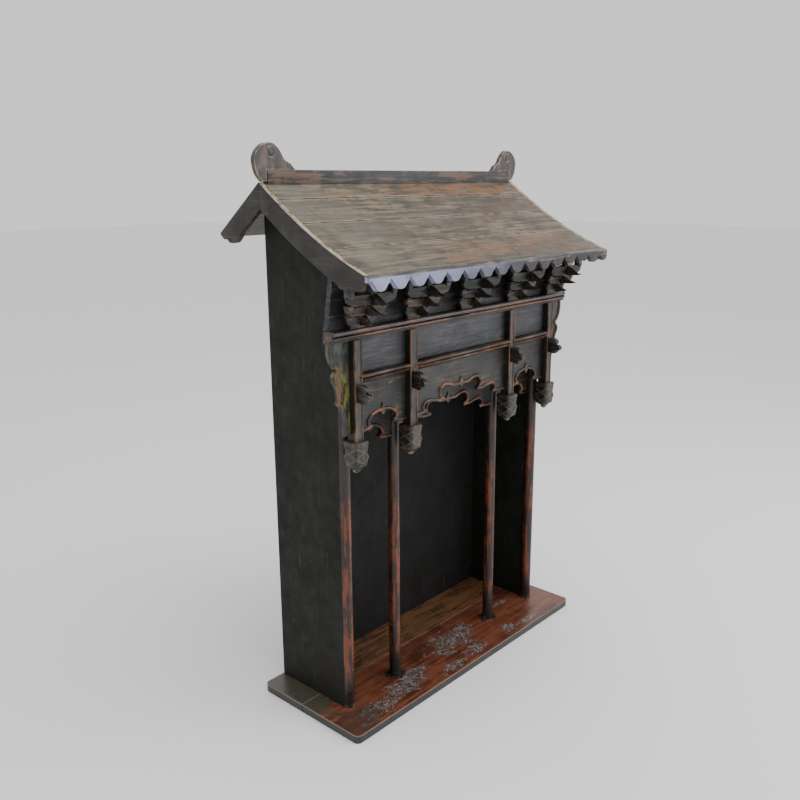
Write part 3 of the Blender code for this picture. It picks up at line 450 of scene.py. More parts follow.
tall = rail_high[2] - rail_low[2]
top_rail = sawn("top_rail_moulding", rail_moulding(rail_low[2], tall, 0.0), "X", rail_low[0], rail_high[0],
                bar_lacquer)
for vertex in top_rail.data.vertices:
    proud = max(0.0, rail_front + 0.007 - vertex.co.y)
    vertex.co.x -= proud * (1.0 if vertex.co.x > 0 else -1.0)
finish_rail(top_rail, rail_low[2], tall)
placed(top_rail, "top_rail")
for side in ("left", "centre", "right"):
    low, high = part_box("bottom_rail_" + side)
    tall = high[2] - low[2]
    tip = tall / 2
    rail = sawn("bottom_rail_" + side + "_moulding", rail_moulding(low[2], tall, 0.0006), "X",
                low[0] - tip, high[0] + tip, bar_lacquer)
    bpy.ops.object.mode_set(mode="EDIT")
    for end, way in ((low[0], -1.0), (high[0], 1.0)):
        for slant in (-1.0, 1.0):
            bpy.ops.mesh.select_all(action="SELECT")
            bpy.ops.mesh.bisect(plane_co=(end + way * tip, 0.0, low[2] + tall / 2),
                                plane_no=(way, 0.0, slant), use_fill=True, clear_outer=True)
    bpy.ops.mesh.select_all(action="SELECT")
    bpy.ops.mesh.normals_make_consistent(inside=False)
    bpy.ops.object.mode_set(mode="OBJECT")
    for vertex in rail.data.vertices:
        if vertex.co.y > rail_front + 0.004:
            vertex.co.x = min(max(vertex.co.x, low[0]), high[0])
    finish_rail(rail, low[2], tall)
    placed(rail, "bottom_rail_" + side)

# The hanging posts are planed square, each with a thin bead on both front corners rubbed
# bare. They hang on the tie beams and hold the panels and rails in grooves. Their sides and
# backs take a darker copy of the lacquer as painted shade.
post_grey = old_timber("post_lacquer", "Z", (0.015, 0.014, 0.013), (0.045, 0.040, 0.036),
                       (0.11, 0.055, 0.03), 0.60, 0.34, 0.6, 0.2)[0]
post_side_painted_shade = old_timber("post_side_painted_shade_lacquer", "Z", (0.006, 0.007, 0.005), (0.014, 0.015, 0.011),
                       (0.05, 0.05, 0.03), 0.66, 0.5, 0.4, 0.2)[0]
post_bead = old_timber("rubbed_post_bead", "Z", (0.018, 0.010, 0.007), (0.062, 0.026, 0.014),
                       (0.17, 0.075, 0.035), 0.56, 0.38, 0.5, 0.25, 0.4)[0]
post_names = ("outer_left", "inner_left", "inner_right", "outer_right")
for name in post_names:
    low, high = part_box("hanging_post_" + name)
    bead = 0.0021
    outline = [(low[0], high[1]), (high[0], high[1])]
    for corner, way in ((high[0] - bead, 1), (low[0] + bead, -1)):
        arc = [(corner + way * bead * cos(turn), low[1] + bead - bead * sin(turn))
               for turn in [radians(-40 + 20 * step) for step in range(11)]]
        run = [(corner + way * bead * 0.70, low[1] + bead * 1.9)] + arc
        run.append((corner - way * bead * 1.15, low[1] + 0.0019))
        outline += run if way == 1 else list(reversed(run))
    post = sawn("hanging_post_" + name + "_planed", outline, "Z", low[2], high[2], post_grey)
    coated(post, post_grey, post_bead, post_side_painted_shade)
    for face in post.data.polygons:
        edge_on = min(face.center.x - low[0], high[0] - face.center.x)
        # Painted shade: the side and back faces take the darker copy of the lacquer.
        if face.center.y > low[1] + 0.005:
            face.material_index = 2
        elif edge_on < 2.2 * bead and face.center.y < low[1] + 2 * bead:
            face.material_index = 1
    placed(post, "hanging_post_" + name)


# Each tie beam is a thin tenon from the column through the hanging post. Its nose is sawn
# in three lobes, and the lacquer is worn off its rounded tips.
def drawn(runs, steps=6):
    """The outline through all runs, a smooth curve inside each and sharp where two meet."""
    outline = []
    for run in runs:
        last = len(run) - 1
        for index in range(last):
            p0, p1 = run[max(index - 1, 0)], run[index]
            p2, p3 = run[index + 1], run[min(index + 2, last)]
            for step in range(steps):
                t = step / steps
                outline.append(tuple(
                    0.5 * (2 * b + (c - a) * t + (2 * a - 5 * b + 4 * c - d) * t * t
                           + (3 * b - a - 3 * c + d) * t ** 3)
                    for a, b, c, d in zip(p0, p1, p2, p3)))
    outline.append(runs[-1][-1])
    return outline


MM = 0.001
NOSE = (
    ((0, 0), (12, -1.5), (22, 3), (24, 10), (19, 14.5)),
    ((19, 14.5), (28, 15), (33, 21.5), (29, 28), (22, 28.5)),
    ((22, 28.5), (23, 33), (17, 36.5), (8, 35), (0, 34)),
)
nose_black = old_timber("nose_lacquer", "Y", (0.008, 0.008, 0.007), (0.020, 0.018, 0.016),
                        (0.07, 0.05, 0.035), 0.62, 0.34, 0.5, 0.3)[0]
nose_worn = old_timber("nose_rubbed", "Y", (0.016, 0.013, 0.011), (0.045, 0.036, 0.028),
                       (0.17, 0.13, 0.09), 0.52, 0.36, 0.5, 0.3)[0]
post_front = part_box("hanging_post_outer_left")[0][1]
for name in post_names:
    low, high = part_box("tie_beam_" + name)
    beam_top = high[2] - 0.0015
    outline = [(high[1], beam_top - 0.034), (high[1], beam_top)]
    outline += [(post_front + 0.002 - out * MM * 1.05, beam_top - down * MM) for out, down in drawn(NOSE)]
    beam = sawn("tie_beam_" + name + "_nosed", outline, "X", low[0], high[0], nose_black, nose_worn, 0.0004)
    placed(beam, "tie_beam_" + name)

# The frieze panels are thin boards with their grain level, stained slate, held between
# the rails and the posts.
slate = old_timber("frieze_slate", "X", (0.011, 0.012, 0.015), (0.034, 0.037, 0.044),
                   (0.055, 0.053, 0.053), 0.60, 0.38, 0.6, 1.0)[0]
for side in ("left", "centre", "right"):
    coated(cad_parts["frieze_panel_" + side], slate)

# The aprons are boards pierced with a scrolled arch. A round moulding is left proud along
# the arch, with a pointed tip and a small leaf in the middle. Its lacquer is rubbed through.
CENTRE_OPENING = (
    ((0, 63), (10, 59.5), (27, 59.5), (44, 54), (60, 52.5), (70, 60), (70, 71), (59, 81)),
    ((59, 81), (77, 84.5), (97, 81), (114, 79), (126, 84), (127, 92), (120, 97)),
    ((120, 97), (132, 101), (154, 102), (163.7, 102)),
)
SIDE_OPENING = (
    ((0, 74), (5, 69), (16, 70), (29, 74), (38, 82), (39, 89), (32, 96.5)),
    ((32, 96.5), (45, 101), (60, 102), (69.7, 102)),
)
apron_slate, tree, colour, tone = old_timber("apron_slate", "X", (0.010, 0.010, 0.010),
                                             (0.027, 0.025, 0.022), (0.075, 0.050, 0.030),
                                             0.64, 0.42, 0.5, 0.7)
gilt = reckon(tree, ramp(tree, mottled(tree, 34.0, 6.0, (2.0, 0.0, 5.0), (0.5, 1.0, 2.2)), 0.58, 0.68),
              patch(tree, (-0.205, -0.09, 0.722), (0.030, 0.02, 0.016), 0.4))
tone = blend(tree, gilt, tone, (0.20, 0.135, 0.050))
stroke = reckon(tree, ramp(tree, mottled(tree, 24.0, 6.0, (6.0, 0.0, 1.0), (0.5, 1.0, 2.5)), 0.56, 0.66),
                patch(tree, (-0.020, -0.09, 0.706), (0.090, 0.02, 0.010), 0.5))
tone = blend(tree, reckon(tree, stroke, 0.7), tone, (0.12, 0.062, 0.030))
tree.links.new(tone, colour)
rib_worn = old_timber("apron_rib_rubbed", "X", (0.014, 0.010, 0.008), (0.044, 0.024, 0.014),
                      (0.16, 0.060, 0.021), 0.58, 0.36, 0.5, 0.4, 0.4)[0]


def inset(edge, deep):
    """The same line moved sideways into the board."""
    moved = []
    for index, (x, z) in enumerate(edge):
        before, after = edge[max(index - 1, 0)], edge[min(index + 1, len(edge) - 1)]
        run, climb = after[0] - before[0], after[1] - before[1]
        moved.append((x - climb * deep / hypot(run, climb), z + run * deep / hypot(run, climb)))
    return moved


RIB_HALF = 0.0038


def proud_rib(name, path, front, material):
    """A round moulding run along a line on a board's face."""
    rib = marked(name, [(x, front, z) for x, z in path], False, dimensions="3D", bevel_depth=RIB_HALF,
                 bevel_resolution=4, use_fill_caps=True)
    bpy.ops.object.shade_smooth()
    rib.data.materials.append(material)
    return rib


FIELD_DEEP = 0.0025
LEAF = ((0, -23), (3, -15), (9, -7), (5, -1), (0, 4), (-5, -1), (-9, -7), (-3, -15))
for prefix, lowering in (("apron_", 0.0), ("inner_apron_", 0.043)):
    for side, opening, half_drawn in (("left", SIDE_OPENING, 69.7), ("centre", CENTRE_OPENING, 163.7),
                                      ("right", SIDE_OPENING, 69.7)):
        low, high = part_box(prefix + side)
        middle = (low[0] + high[0]) / 2
        half = (high[0] - low[0]) / 2
        front = low[1] + FIELD_DEEP
        flank = [(out * half / half_drawn, high[2] - lowering - drop * MM) for out, drop in drawn(opening)]
        edge = [(middle - out, z) for out, z in reversed(flank)]
        edge += [(middle + out, z) for out, z in flank[1:]]
        leaf = [(middle + out * MM, flank[0][1] - drop * MM) for out, drop in LEAF]
        parts = [sawn(prefix + side + "_board", edge + [(high[0], high[2]), (low[0], high[2])], "Y", front,
                      high[1], apron_slate),
                 proud_rib(prefix + side + "_rib", inset(edge, 0.0030), front, rib_worn),
                 sawn(prefix + side + "_leaf", leaf, "Y", front - 0.0028, front + 0.0030, rib_worn, rib_worn,
                      0.0008)]
        placed(joined(prefix + side + "_carved", parts), prefix + side)

# The wings are boards sawn in a scrolled outer edge with the same proud moulding. Their
# fields keep the old painting: blue-green at the top, then yellow-green and ochre strokes.
WING_EDGE = (
    ((54, 0), (54, 19), (49.5, 35), (42.4, 47), (34, 53.6)),
    ((34, 53.6), (42, 62.4), (44, 71), (40, 80.4), (34.5, 90.4), (31.5, 102.5), (31, 113), (35.6, 122.3)),
    ((35.6, 122.3), (26, 126.7), (22, 135.3), (17.3, 146.7), (15.3, 159), (18, 173), (20, 188)),
)
wing_paint, tree, colour, tone = old_timber("wing_paint", "Z", (0.010, 0.012, 0.009), (0.030, 0.033, 0.027),
                                            (0.07, 0.065, 0.03), 0.60, 0.45, 0.45, 0.5)
level_z = along(tree, "Z")
brushed = mottled(tree, 30.0, 6.0, (0.0, 0.0, 0.0), (2.0, 1.0, 0.6))
teal = reckon(tree, ramp(tree, level_z, 0.780, 0.800), ramp(tree, brushed, 0.46, 0.64))
tone = blend(tree, teal, tone, (0.050, 0.075, 0.062))
green = reckon(tree, ramp(tree, level_z, 0.800, 0.780), ramp(tree, brushed, 0.54, 0.60))
tone = blend(tree, green, tone, (0.125, 0.150, 0.030))
ochre = reckon(tree, ramp(tree, level_z, 0.775, 0.750),
               ramp(tree, mottled(tree, 42.0, 6.0, (5.0, 0.0, 2.0), (2.0, 1.0, 0.5)), 0.58, 0.64))
tone = blend(tree, ochre, tone, (0.180, 0.110, 0.026))
tree.links.new(tone, colour)
wing_rib = old_timber("wing_rib_rubbed", "Z", (0.014, 0.012, 0.010), (0.042, 0.033, 0.026),
                      (0.13, 0.066, 0.033), 0.56, 0.36, 0.5, 0.4, 0.4)[0]
for side, way in (("left", -1.0), ("right", 1.0)):
    low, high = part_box("wing_" + side)
    inner = high[0] if way < 0 else low[0]
    front = low[1] + FIELD_DEEP
    rim = [(inner + way * out * MM, high[2] - drop * MM) for out, drop in drawn(WING_EDGE)]
    board = sawn("wing_" + side + "_board", rim + [(inner, low[2]), (inner, high[2])], "Y", front, high[1],
                 wing_paint)
    rib = proud_rib("wing_" + side + "_rib", inset(rim, -0.0034 * way), front, wing_rib)
    placed(joined("wing_" + side + "_carved", [board, rib]), "wing_" + side)

# A lotus finial closes each hanging post: a rounded block carved with crossing leaf ribs
# under a plain lip, drawn in to a small turned knob. The ribs are worn to tan wood.
lotus_brown, tree, colour, tone = old_timber("lotus_lacquer", "Z", (0.006, 0.006, 0.005),
                                             (0.018, 0.016, 0.014), (0.070, 0.048, 0.031),
                                             0.60, 0.40, 0.5, 0.4)
ribbed = put(tree, "ShaderNodeAttribute", attribute_name="rib").outputs["Fac"]
rubbed = reckon(tree, ramp(tree, ribbed, 0.30, 1.0), ramp(tree, mottled(tree, 60.0), 0.30, 0.52))
tone = blend(tree, rubbed, tone, (0.058, 0.045, 0.032))
orange = reckon(tree, ramp(tree, mottled(tree, 40.0), 0.56, 0.66),
                ramp(tree, along(tree, "Z"), 0.600, 0.580))
tone = blend(tree, orange, tone, (0.17, 0.075, 0.028))
tree.links.new(tone, colour)
LOTUS_SECTION = ((0.0, 0.93), (0.03, 0.99), (0.08, 1.0), (0.12, 0.98), (0.145, 0.92), (0.18, 0.95),
                 (0.35, 0.99), (0.60, 0.995), (0.73, 0.95), (0.79, 0.84), (0.835, 0.64), (0.87, 0.38),
                 (0.89, 0.26))
LOTUS_HALF = 0.0203


def rounded(material):
    """The round piece just made, smoothed and coated."""
    piece = bpy.context.object
    bpy.ops.object.transform_apply(location=True, rotation=True, scale=True)
    bpy.ops.object.shade_smooth()
    piece.data.materials.append(material)
    return piece


for name in post_names:
    node = "lotus_finial_" + name
    low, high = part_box(node)
    middle_x, middle_y = (low[0] + high[0]) / 2, (low[1] + high[1]) / 2
    tall = high[2] - low[2]
    block_tall = tall * LOTUS_SECTION[-1][0]
    bpy.ops.object.select_all(action="DESELECT")
    bpy.ops.mesh.primitive_cylinder_add(vertices=112, radius=0.019, depth=block_tall,
                                        location=(middle_x, middle_y, high[2] - block_tall / 2))
    block = bpy.context.object
    bpy.ops.object.transform_apply(location=True, rotation=True, scale=True)
    ringed(high[2], -block_tall, 56)
    crests = block.data.attributes.new("rib", "FLOAT", "POINT")
    for vertex in block.data.vertices:
        out = Vector((vertex.co.x - middle_x, vertex.co.y - middle_y))
        if out.length < 0.001:
            continue
        facing = out.normalized()
        down = (high[2] - vertex.co.z) / tall
        square = 1.0 / (abs(facing.x) ** 5 + abs(facing.y) ** 5) ** 0.2
        reach = LOTUS_SECTION[-1][1]
        for (d0, r0), (d1, r1) in zip(LOTUS_SECTION, LOTUS_SECTION[1:]):
            if d0 <= down <= d1:
                t = (down - d0) / (d1 - d0)
                reach = r0 + (r1 - r0) * t * t * (3 - 2 * t)
        square += (1.0 - square) * max(0.0, min(1.0, (down - 0.70) / 0.18))
        radius = LOTUS_HALF * reach * square
        if 0.15 < down < 0.84:
            side_on = min(abs(facing.x), abs(facing.y)) / max(abs(facing.x), abs(facing.y))
            fall = (down - 0.16) / 0.66
            rib = exp(-((side_on - abs((4 * fall) % 2 - 1.0)) / 0.24) ** 2)
            radius += 0.0022 * rib - 0.0020
            crests.data[vertex.index].value = rib
        else:
            crests.data[vertex.index].value = 0.55
        vertex.co.x = middle_x + facing.x * radius
        vertex.co.y = middle_y + facing.y * radius
    bpy.ops.object.shade_smooth_by_angle(angle=radians(60))
    block.data.materials.append(lotus_brown)
    bpy.ops.object.select_all(action="DESELECT")
    bpy.ops.mesh.primitive_uv_sphere_add(segments=28, ring_count=16, radius=0.0078, scale=(1.0, 1.0, 0.9),
                                         location=(middle_x, middle_y, low[2] + 0.0072))
    knob = rounded(nose_worn)
    placed(joined(node + "_carved", [block, knob]), node)

# The board behind the brackets closes the space under the eave. It carries a dull
# blue-grey wash over smoke-dark wood.
wash = old_timber("bracket_board_wash", "X", (0.008, 0.008, 0.010), (0.027, 0.028, 0.034),
                  (0.070, 0.055, 0.047), 0.60, 0.50, 0.4, 0.4)[0]
coated(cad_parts["bracket_board"], wash)

# Five bracket sets stand on the top rail. Each is glued up of three tiers of cross arms
# with small bearing blocks, and of three long curved beaks that reach out under the eave.
bracket_dark = old_timber("bracket_lacquer", "X", (0.004, 0.004, 0.003), (0.009, 0.008, 0.006),
                          (0.055, 0.036, 0.016), 0.60, 0.42, 0.45, 0.3)[0]
bracket_edge = old_timber("bracket_rubbed", "X", (0.005, 0.004, 0.003), (0.013, 0.010, 0.007),
                          (0.10, 0.060, 0.030), 0.60, 0.40, 0.5, 0.3)[0]
block_grey = old_timber("bearing_block_wash", "X", (0.005, 0.005, 0.005), (0.020, 0.019, 0.022),
                        (0.09, 0.072, 0.050), 0.62, 0.45, 0.45, 0.3)[0]
set_low, set_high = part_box("bracket_set_3")
first_tier, pitch_up, arm_tall, half_thick = 0.8615, 0.0205, 0.016, 0.0045
back = set_high[1]
seat = [(-0.019, set_low[2]), (0.019, set_low[2]), (0.019, first_tier), (-0.019, first_tier)]
spine = [(-0.0098, first_tier - 0.001), (0.0098, first_tier - 0.001), (0.0098, 0.9185), (-0.0098, 0.9185)]
parts = [sawn("seat", seat, "Y", -0.103, back, bracket_dark, bracket_edge, 0.0010),
         sawn("spine", spine, "Y", back - 0.006, back, bracket_dark)]
for tier, (reach, half) in enumerate(((0.059, 0.038), (0.084, 0.052), (0.099, 0.065))):
    bottom = first_tier + pitch_up * tier
    height = arm_tall + (0.004 if tier == 2 else 0.0)
    top = bottom + height
    blade = drawn((
        ((back, top + 0.002), (back - reach * 0.40, top + 0.002), (back - reach * 0.60, top + 0.0005),
         (back - reach * 0.74, top - 0.0065), (back - reach * 0.87, bottom + 0.0055),
         (back - reach, bottom + 0.004)),
        ((back - reach, bottom + 0.004), (back - reach * 0.90, bottom + 0.001),
         (back - reach * 0.72, bottom - 0.0005), (back - reach * 0.40, bottom - 0.001),
         (back, bottom - 0.001)),
    ), 5)
    beak = sawn("beak", blade, "X", -half_thick, half_thick, bracket_dark, bracket_edge, 0.0009)
    for vertex in beak.data.vertices:
        gone = max(0.0, (back - vertex.co.y) / reach - 0.55) / 0.45
        vertex.co.x *= 1.0 - 0.78 * gone
    parts.append(beak)
    y = -0.110 - 0.015 * tier
    arm = drawn((
        ((-half, top), (-half, top - height * 0.45)),
        ((-half, top - height * 0.45), (-half * 0.955, bottom + height * 0.34),
         (-half * 0.88, bottom + height * 0.16), (-half * 0.68, bottom)),
        ((-half * 0.68, bottom), (half * 0.68, bottom)),
        ((half * 0.68, bottom), (half * 0.88, bottom + height * 0.16),
         (half * 0.955, bottom + height * 0.34), (half, top - height * 0.45)),
        ((half, top - height * 0.45), (half, top)),
    ), 4)
    parts.append(sawn("arm", arm, "Y", y - half_thick, y + half_thick, bracket_dark, bracket_edge, 0.0010))
    rise = 0.0135 if tier == 2 else pitch_up - height
    for offset in (0.007 - half, 0.0, half - 0.007):
        bearing = [(offset - 0.0048, top - 0.0045), (offset + 0.0048, top - 0.0045),
                   (offset + 0.007, top - 0.001), (offset + 0.007, top + rise),
                   (offset - 0.007, top + rise), (offset - 0.007, top - 0.001)]
        parts.append(sawn("bearing", bearing, "Y", y - 0.007, y + 0.007, block_grey, bracket_edge, 0.0008))
middle_set = joined("bracket_set_3_carved", parts)
for number, x in enumerate((-CORNER_X, -0.175, 0.0, 0.175, CORNER_X), start=1):
    bracket_set = middle_set
    if number != 3:
        bracket_set = middle_set.copy()
        bracket_set.data = middle_set.data.copy()
        bracket_set.name = "bracket_set_" + str(number) + "_carved"
        bpy.context.scene.collection.objects.link(bracket_set)
        bracket_set.data.transform(Matrix.Translation((x, 0.0, 0.0)))
    placed(bracket_set, "bracket_set_" + str(number))

# The roof is boarded: four planks on the sagging front slope and one behind, left bare to
# weather. They have greyed on the left and worn orange-brown where hands and rags rub them.
RIDGE_Y, FRONT_SLOPE, FRONT_SAG, REAR_SLOPE, PLANK_THICK = 0.082, 0.76, 0.683, 0.7705, 0.012
ridge_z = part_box("roof_front_plank_1")[1][2]


def roof_top(y):
    """Height of the roof's top surface."""
    run = RIDGE_Y - y
    return ridge_z - (FRONT_SLOPE * run - FRONT_SAG * run * run if run > 0 else -REAR_SLOPE * run)


def roof_thickness(y):
    """Vertical thickness of the roof's boards."""
    run = RIDGE_Y - y
    return PLANK_THICK * hypot(1.0, FRONT_SLOPE - 2 * FRONT_SAG * run if run > 0 else REAR_SLOPE)


weathered, tree, colour, tone = old_timber("roof_weathered", "X", (0.030, 0.023, 0.015),
                                           (0.108, 0.088, 0.059), (0.165, 0.127, 0.082),
                                           0.56, 0.44, 0.40, 0.6, 0.9)
side_x = along(tree, "X")
smoked = ramp(tree, mottled(tree, 6.0, 9.0, (4.0, 1.0, 0.0), (0.5, 1.5, 1.5)), 0.46, 0.60)
tone = blend(tree, reckon(tree, smoked, 0.65), tone, (0.060, 0.048, 0.033))
brown = reckon(tree, ramp(tree, side_x, -0.28, 0.25),
               ramp(tree, mottled(tree, 7.0, 8.0, (1.0, 3.0, 2.0), (0.5, 1.6, 1.6)), 0.40, 0.62))
tone = blend(tree, reckon(tree, brown, 0.85), tone, (0.088, 0.046, 0.023))
RUBBED_PLACES = (
    ((0.10, 0.055, 1.09), (0.22, 0.020, 0.05)), ((0.30, 0.050, 1.09), (0.12, 0.018, 0.05)),
    ((-0.10, -0.175, 1.0), (0.10, 0.022, 0.05)), ((0.06, -0.150, 1.0), (0.13, 0.018, 0.05)),
    ((0.22, -0.120, 1.0), (0.10, 0.016, 0.05)), ((-0.22, 0.045, 1.09), (0.10, 0.010, 0.05)),
)
for middle, half in RUBBED_PLACES:
    rub = reckon(tree, patch(tree, middle, half, 0.6),
                 ramp(tree, grained(tree, "X", 10.0, 14.0, 6.0, middle), 0.42, 0.56))
    tone = blend(tree, reckon(tree, rub, 0.75), tone, (0.195, 0.086, 0.036))
dark = patch(tree, (-0.02, -0.030, 1.06), (0.10, 0.030, 0.06), 0.5)
tone = blend(tree, reckon(tree, dark, 0.5), tone, (0.060, 0.052, 0.044))
dust = reckon(tree, ramp(tree, side_x, -0.12, -0.38), ramp(tree, mottled(tree, 12.0, 8.0), 0.36, 0.60))
tone = blend(tree, reckon(tree, dust, 0.5), tone, (0.175, 0.158, 0.115))
slanted = put(tree, "ShaderNodeMapping", {"Vector": spot(tree), "Rotation": (0.0, 0.0, radians(38)),
                                          "Scale": (160.0, 5.0, 5.0)})
scratch = put(tree, "ShaderNodeTexNoise", {"Vector": slanted.outputs[0], "Scale": 1.6, "Detail": 3.0})
scored = reckon(tree, ramp(tree, scratch.outputs["Fac"], 0.66, 0.70),
                ramp(tree, mottled(tree, 8.0, 4.0, (9.0, 1.0, 1.0)), 0.50, 0.62))
tone = blend(tree, reckon(tree, scored, 0.45), tone, (0.32, 0.27, 0.19))
for plank_joint in (0.038, -0.028, -0.105):
    off = off_line(tree, along(tree, "Y"), plank_joint)
    chafed = reckon(tree, ramp(tree, off, 0.0042, 0.0015), ramp(tree, mottled(tree, 30.0), 0.38, 0.60))
    tone = blend(tree, chafed, tone, (0.33, 0.27, 0.19))
    tone = blend(tree, ramp(tree, off, 0.0017, 0.0009), tone, (0.020, 0.015, 0.012))
tree.links.new(tone, colour)
for number in range(1, 5):
    node = "roof_front_plank_" + str(number)
    low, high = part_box(node)
    places = [high[1] + (low[1] - high[1]) * step / 12 for step in range(13)]
    outline = [(y, roof_top(y)) for y in places]
    outline += [(y, roof_top(y) - roof_thickness(y)) for y in reversed(places)]
    plank = sawn(node + "_board", outline, "X", low[0], high[0], weathered, weathered, 0.0006)
    placed(plank, node)
coated(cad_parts["roof_rear_board"], weathered)

# The barge boards cover the planks' ends, nailed on, with a scrolled foot behind. They are
# painted charcoal, and their top edges are rubbed to bare cream wood.
BARGE_SCROLL = (
    ((69, 51), (60, 55), (51, 56), (41, 51), (29, 41), (21, 28)),
    ((21, 28), (13, 23), (5, 12), (0, 3)),
)
BARGE_DEPTH = 0.0505
charcoal = old_timber("barge_paint", "Y", (0.015, 0.014, 0.012), (0.032, 0.030, 0.026),
                      (0.050, 0.045, 0.035), 0.66, 0.55, 0.4, 0.3)[0]
cream_edge = old_timber("barge_top_rubbed", "Y", (0.08, 0.065, 0.045), (0.26, 0.21, 0.145),
                        (0.36, 0.30, 0.21), 0.50, 0.55, 0.35, 0.3)[0]
for side in ("left", "right"):
    low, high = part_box("barge_board_front_" + side)
    front, upper = low[1], high[1]
    tail = front + 0.061
    tail_bottom = roof_top(tail) - BARGE_DEPTH - 0.004
    places = [upper + (front - upper) * step / 40 for step in range(41)]
    outline = [(y, roof_top(y)) for y in places]
    outline += [(front, roof_top(front) - 0.010), (front + 0.006, roof_top(front) - 0.022),
                (front + 0.008, tail_bottom + 0.001), (front + 0.012, tail_bottom - 0.001),
                (tail, tail_bottom + 0.001)]
    places = [tail + 0.012 + (upper - tail - 0.012) * step / 24 for step in range(25)]
    outline += [(y, roof_top(y) - BARGE_DEPTH) for y in places]
    barge = sawn("barge_board_front_" + side + "_board", outline, "X", low[0], high[0], charcoal, charcoal,
                 0.0012)
    rear_low, rear_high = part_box("barge_board_rear_" + side)
    scroll = [(rear_high[1] - behind * MM, roof_top(rear_high[1] - behind * MM) - drop * MM)
              for behind, drop in drawn(BARGE_SCROLL)]
    outline = [(rear_low[1], roof_top(rear_low[1])),
               (rear_low[1], roof_top(rear_low[1]) - BARGE_DEPTH)]
    outline += scroll + [(rear_high[1], roof_top(rear_high[1]))]
    rear_barge = sawn("barge_board_rear_" + side + "_board", outline, "X", low[0], high[0], charcoal,
                      charcoal, 0.0012)
    for board, node in ((barge, "barge_board_front_" + side), (rear_barge, "barge_board_rear_" + side)):
        board.data.materials[1] = cream_edge
        for face in board.data.polygons:
            face.material_index = 1 if face.normal.z > 0.45 else 0
        placed(board, node)

# The fascia is a board fixed along the eave, its lower edge sawn in round lobes between
# pointed notches. Its wash is dark, with a cool pale blue sheen painted into its colour,
# stronger to the left, and one lobe is broken.
LOBE = ((0.0, 1.0), (0.050, 0.80), (0.11, 0.66), (0.175, 0.50), (0.24, 0.27), (0.34, 0.07), (0.50, 0.0),
        (0.66, 0.07), (0.76, 0.27), (0.825, 0.50), (0.89, 0.66), (0.95, 0.80), (1.0, 1.0))
BREAK = ((0.40, 0.05), (0.44, 0.25), (0.47, 0.30), (0.52, 0.47), (0.60, 0.43), (0.66, 0.52), (0.73, 0.50),
         (0.71, 0.30), (0.76, 0.27), (0.825, 0.50), (0.89, 0.66), (0.95, 0.80))
low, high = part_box("fascia")
eave_y, back_y, end_x = low[1], high[1], high[0]
eave_top = roof_top(eave_y)
lobe_bottom = eave_top - 0.026
lobe_pitch, notch = 0.0524, 0.020
peaks = [0.058 - end_x - lobe_pitch]
while peaks[-1] + lobe_pitch < end_x - 0.02:
    peaks.append(peaks[-1] + lobe_pitch)
lower = [(-end_x, lobe_bottom + notch * 0.85)]
for index, peak in enumerate(peaks):
    shape = drawn((LOBE,), 3)[:-1]
    if index == len(peaks) - 1:
        shape = drawn((LOBE[:6],), 3)
    elif index == len(peaks) - 3:
        shape = drawn((LOBE[:6],), 3) + list(BREAK)
    lower += [(peak + lobe_pitch * share, lobe_bottom + notch * rise) for share, rise in shape
              if peak + lobe_pitch * share > 0.001 - end_x]
lower += [(end_x - 0.010, lobe_bottom + 0.002), (end_x - 0.004, lobe_bottom + 0.005),
          (end_x, lobe_bottom + 0.012)]
wash_and_painted_sheen, tree, colour, tone = old_timber("fascia_wash_painted_sheen", "X", (0.012, 0.011, 0.012), (0.034, 0.031, 0.033),
                                            (0.20, 0.15, 0.13), 0.66, 0.40, 0.5, 0.2)
# Painted sheen: a cool pale blue reflection laid into the colour, strongest at the left end.
painted_sheen_left = reckon(tree, ramp(tree, along(tree, "X"), 0.12, -0.38), ramp(tree, mottled(tree, 16.0), 0.10, 0.55))
tone = blend(tree, painted_sheen_left, tone, (0.290, 0.310, 0.470))
tree.links.new(tone, colour)
fascia_worn = old_timber("fascia_rubbed", "X", (0.016, 0.015, 0.016), (0.058, 0.055, 0.064),
                         (0.14, 0.12, 0.11), 0.56, 0.45, 0.4, 0.2)[0]
fascia = sawn("fascia_sawn", lower + [(end_x, eave_top), (-end_x, eave_top)], "Y", eave_y, back_y,
              wash_and_painted_sheen, fascia_worn, 0.0010)
lift = roof_top(back_y) - eave_top
for vertex in fascia.data.vertices:
    if vertex.co.z > eave_top - 0.003:
        vertex.co.z += lift * (vertex.co.y - eave_y) / (back_y - eave_y)
for face in fascia.data.polygons:
    if face.normal.z > 0.5:
        face.material_index = 1
placed(fascia, "fascia")

# The ridge beam sits over the joint of the two slopes, and a sawn curl with a carved eye
# stands on each of its ends. The beam is blue-grey with orange rubs, the curls tan-edged.
RIDGE_FINIAL = (
    ((11, 0), (24, 15), (29.8, 39), (24, 55), (9, 68), (-8, 72), (-21, 69), (-34, 58), (-44, 43)),
    ((-44, 43), (-48, 40), (-61, 34)),
    ((-61, 34), (-66, 28), (-72, 23)),
)
ridge_wash, tree, colour, tone = old_timber("ridge_wash", "X", (0.010, 0.009, 0.010), (0.034, 0.031, 0.034),
                                            (0.10, 0.065, 0.045), 0.58, 0.42, 0.5, 0.3)
for x in (-0.330, 0.205):
    rub = reckon(tree, patch(tree, (x, 0.075, 1.133), (0.040, 0.02, 0.009), 0.5),
                 ramp(tree, grained(tree, "X", 12.0, 16.0, 5.0), 0.40, 0.55))
    tone = blend(tree, rub, tone, (0.135, 0.056, 0.024))
chafed = reckon(tree, ramp(tree, along(tree, "Z"), 1.1435, 1.1458),
                ramp(tree, mottled(tree, 22.0), 0.4, 0.6))
tone = blend(tree, chafed, tone, (0.105, 0.082, 0.056))
tree.links.new(tone, colour)
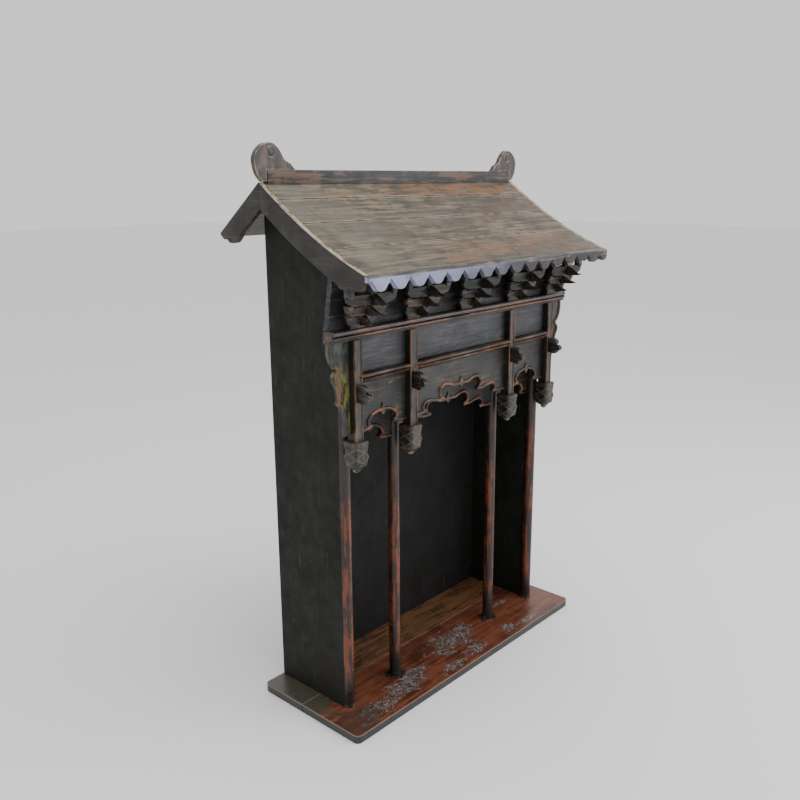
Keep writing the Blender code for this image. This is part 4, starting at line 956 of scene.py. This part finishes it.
finial_dark = old_timber("ridge_finial_lacquer", "Z", (0.010, 0.009, 0.009), (0.034, 0.026, 0.025),
                         (0.09, 0.050, 0.035), 0.58, 0.34, 0.6, 0.3)[0]
finial_worn = old_timber("ridge_finial_rubbed", "Z", (0.055, 0.040, 0.026), (0.165, 0.125, 0.080),
                         (0.28, 0.22, 0.14), 0.52, 0.40, 0.5, 0.3)[0]
low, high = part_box("ridge_beam")
ridge_top, ridge_end = high[2], high[0]
GAP = 0.0003
outline = [(low[1], roof_top(low[1]) + GAP), (RIDGE_Y, ridge_z + GAP),
           (high[1], roof_top(high[1]) + GAP), (high[1], ridge_top), (low[1], ridge_top)]
beam = sawn("ridge_beam_planed", outline, "X", low[0], high[0], ridge_wash, ridge_wash, 0.0012)
placed(beam, "ridge_beam")
for side, way in (("left", -1), ("right", 1)):
    node = "ridge_finial_" + side
    low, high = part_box(node)
    curl = []
    for out, rise in drawn(RIDGE_FINIAL):
        above = ridge_top - ridge_z + (rise - 22.5) * MM * (high[2] - ridge_top) / 0.0495
        curl.append((way * (ridge_end + out * MM), ridge_z + GAP + (rise * MM if rise <= 23 else above)))
    curl[-1] = (curl[-1][0], ridge_top + GAP)
    outline = curl + [(way * (ridge_end + GAP), ridge_top + GAP), (way * (ridge_end + GAP), ridge_z + GAP)]
    eye_x, eye_z = way * (ridge_end - 0.011), ridge_top + 0.0325
    faces = (low[1] + 0.0010, high[1] - 0.0010)
    parts = [sawn(node + "_board", outline, "Y", *faces, finial_dark, finial_worn, 0.0018, 3)]
    for face_y in faces:
        bpy.ops.object.select_all(action="DESELECT")
        bpy.ops.mesh.primitive_uv_sphere_add(segments=32, ring_count=16, radius=0.0068,
                                             location=(eye_x, face_y, eye_z), scale=(1.0, 0.26, 1.0))
        parts.append(rounded(finial_dark))
        bpy.ops.object.select_all(action="DESELECT")
        bpy.ops.mesh.primitive_torus_add(major_segments=40, minor_segments=10, major_radius=0.0105,
                                         minor_radius=0.0011, rotation=(pi / 2, 0.0, 0.0),
                                         location=(eye_x, face_y, eye_z))
        parts.append(rounded(finial_worn))
    placed(joined(node + "_carved", parts), node)
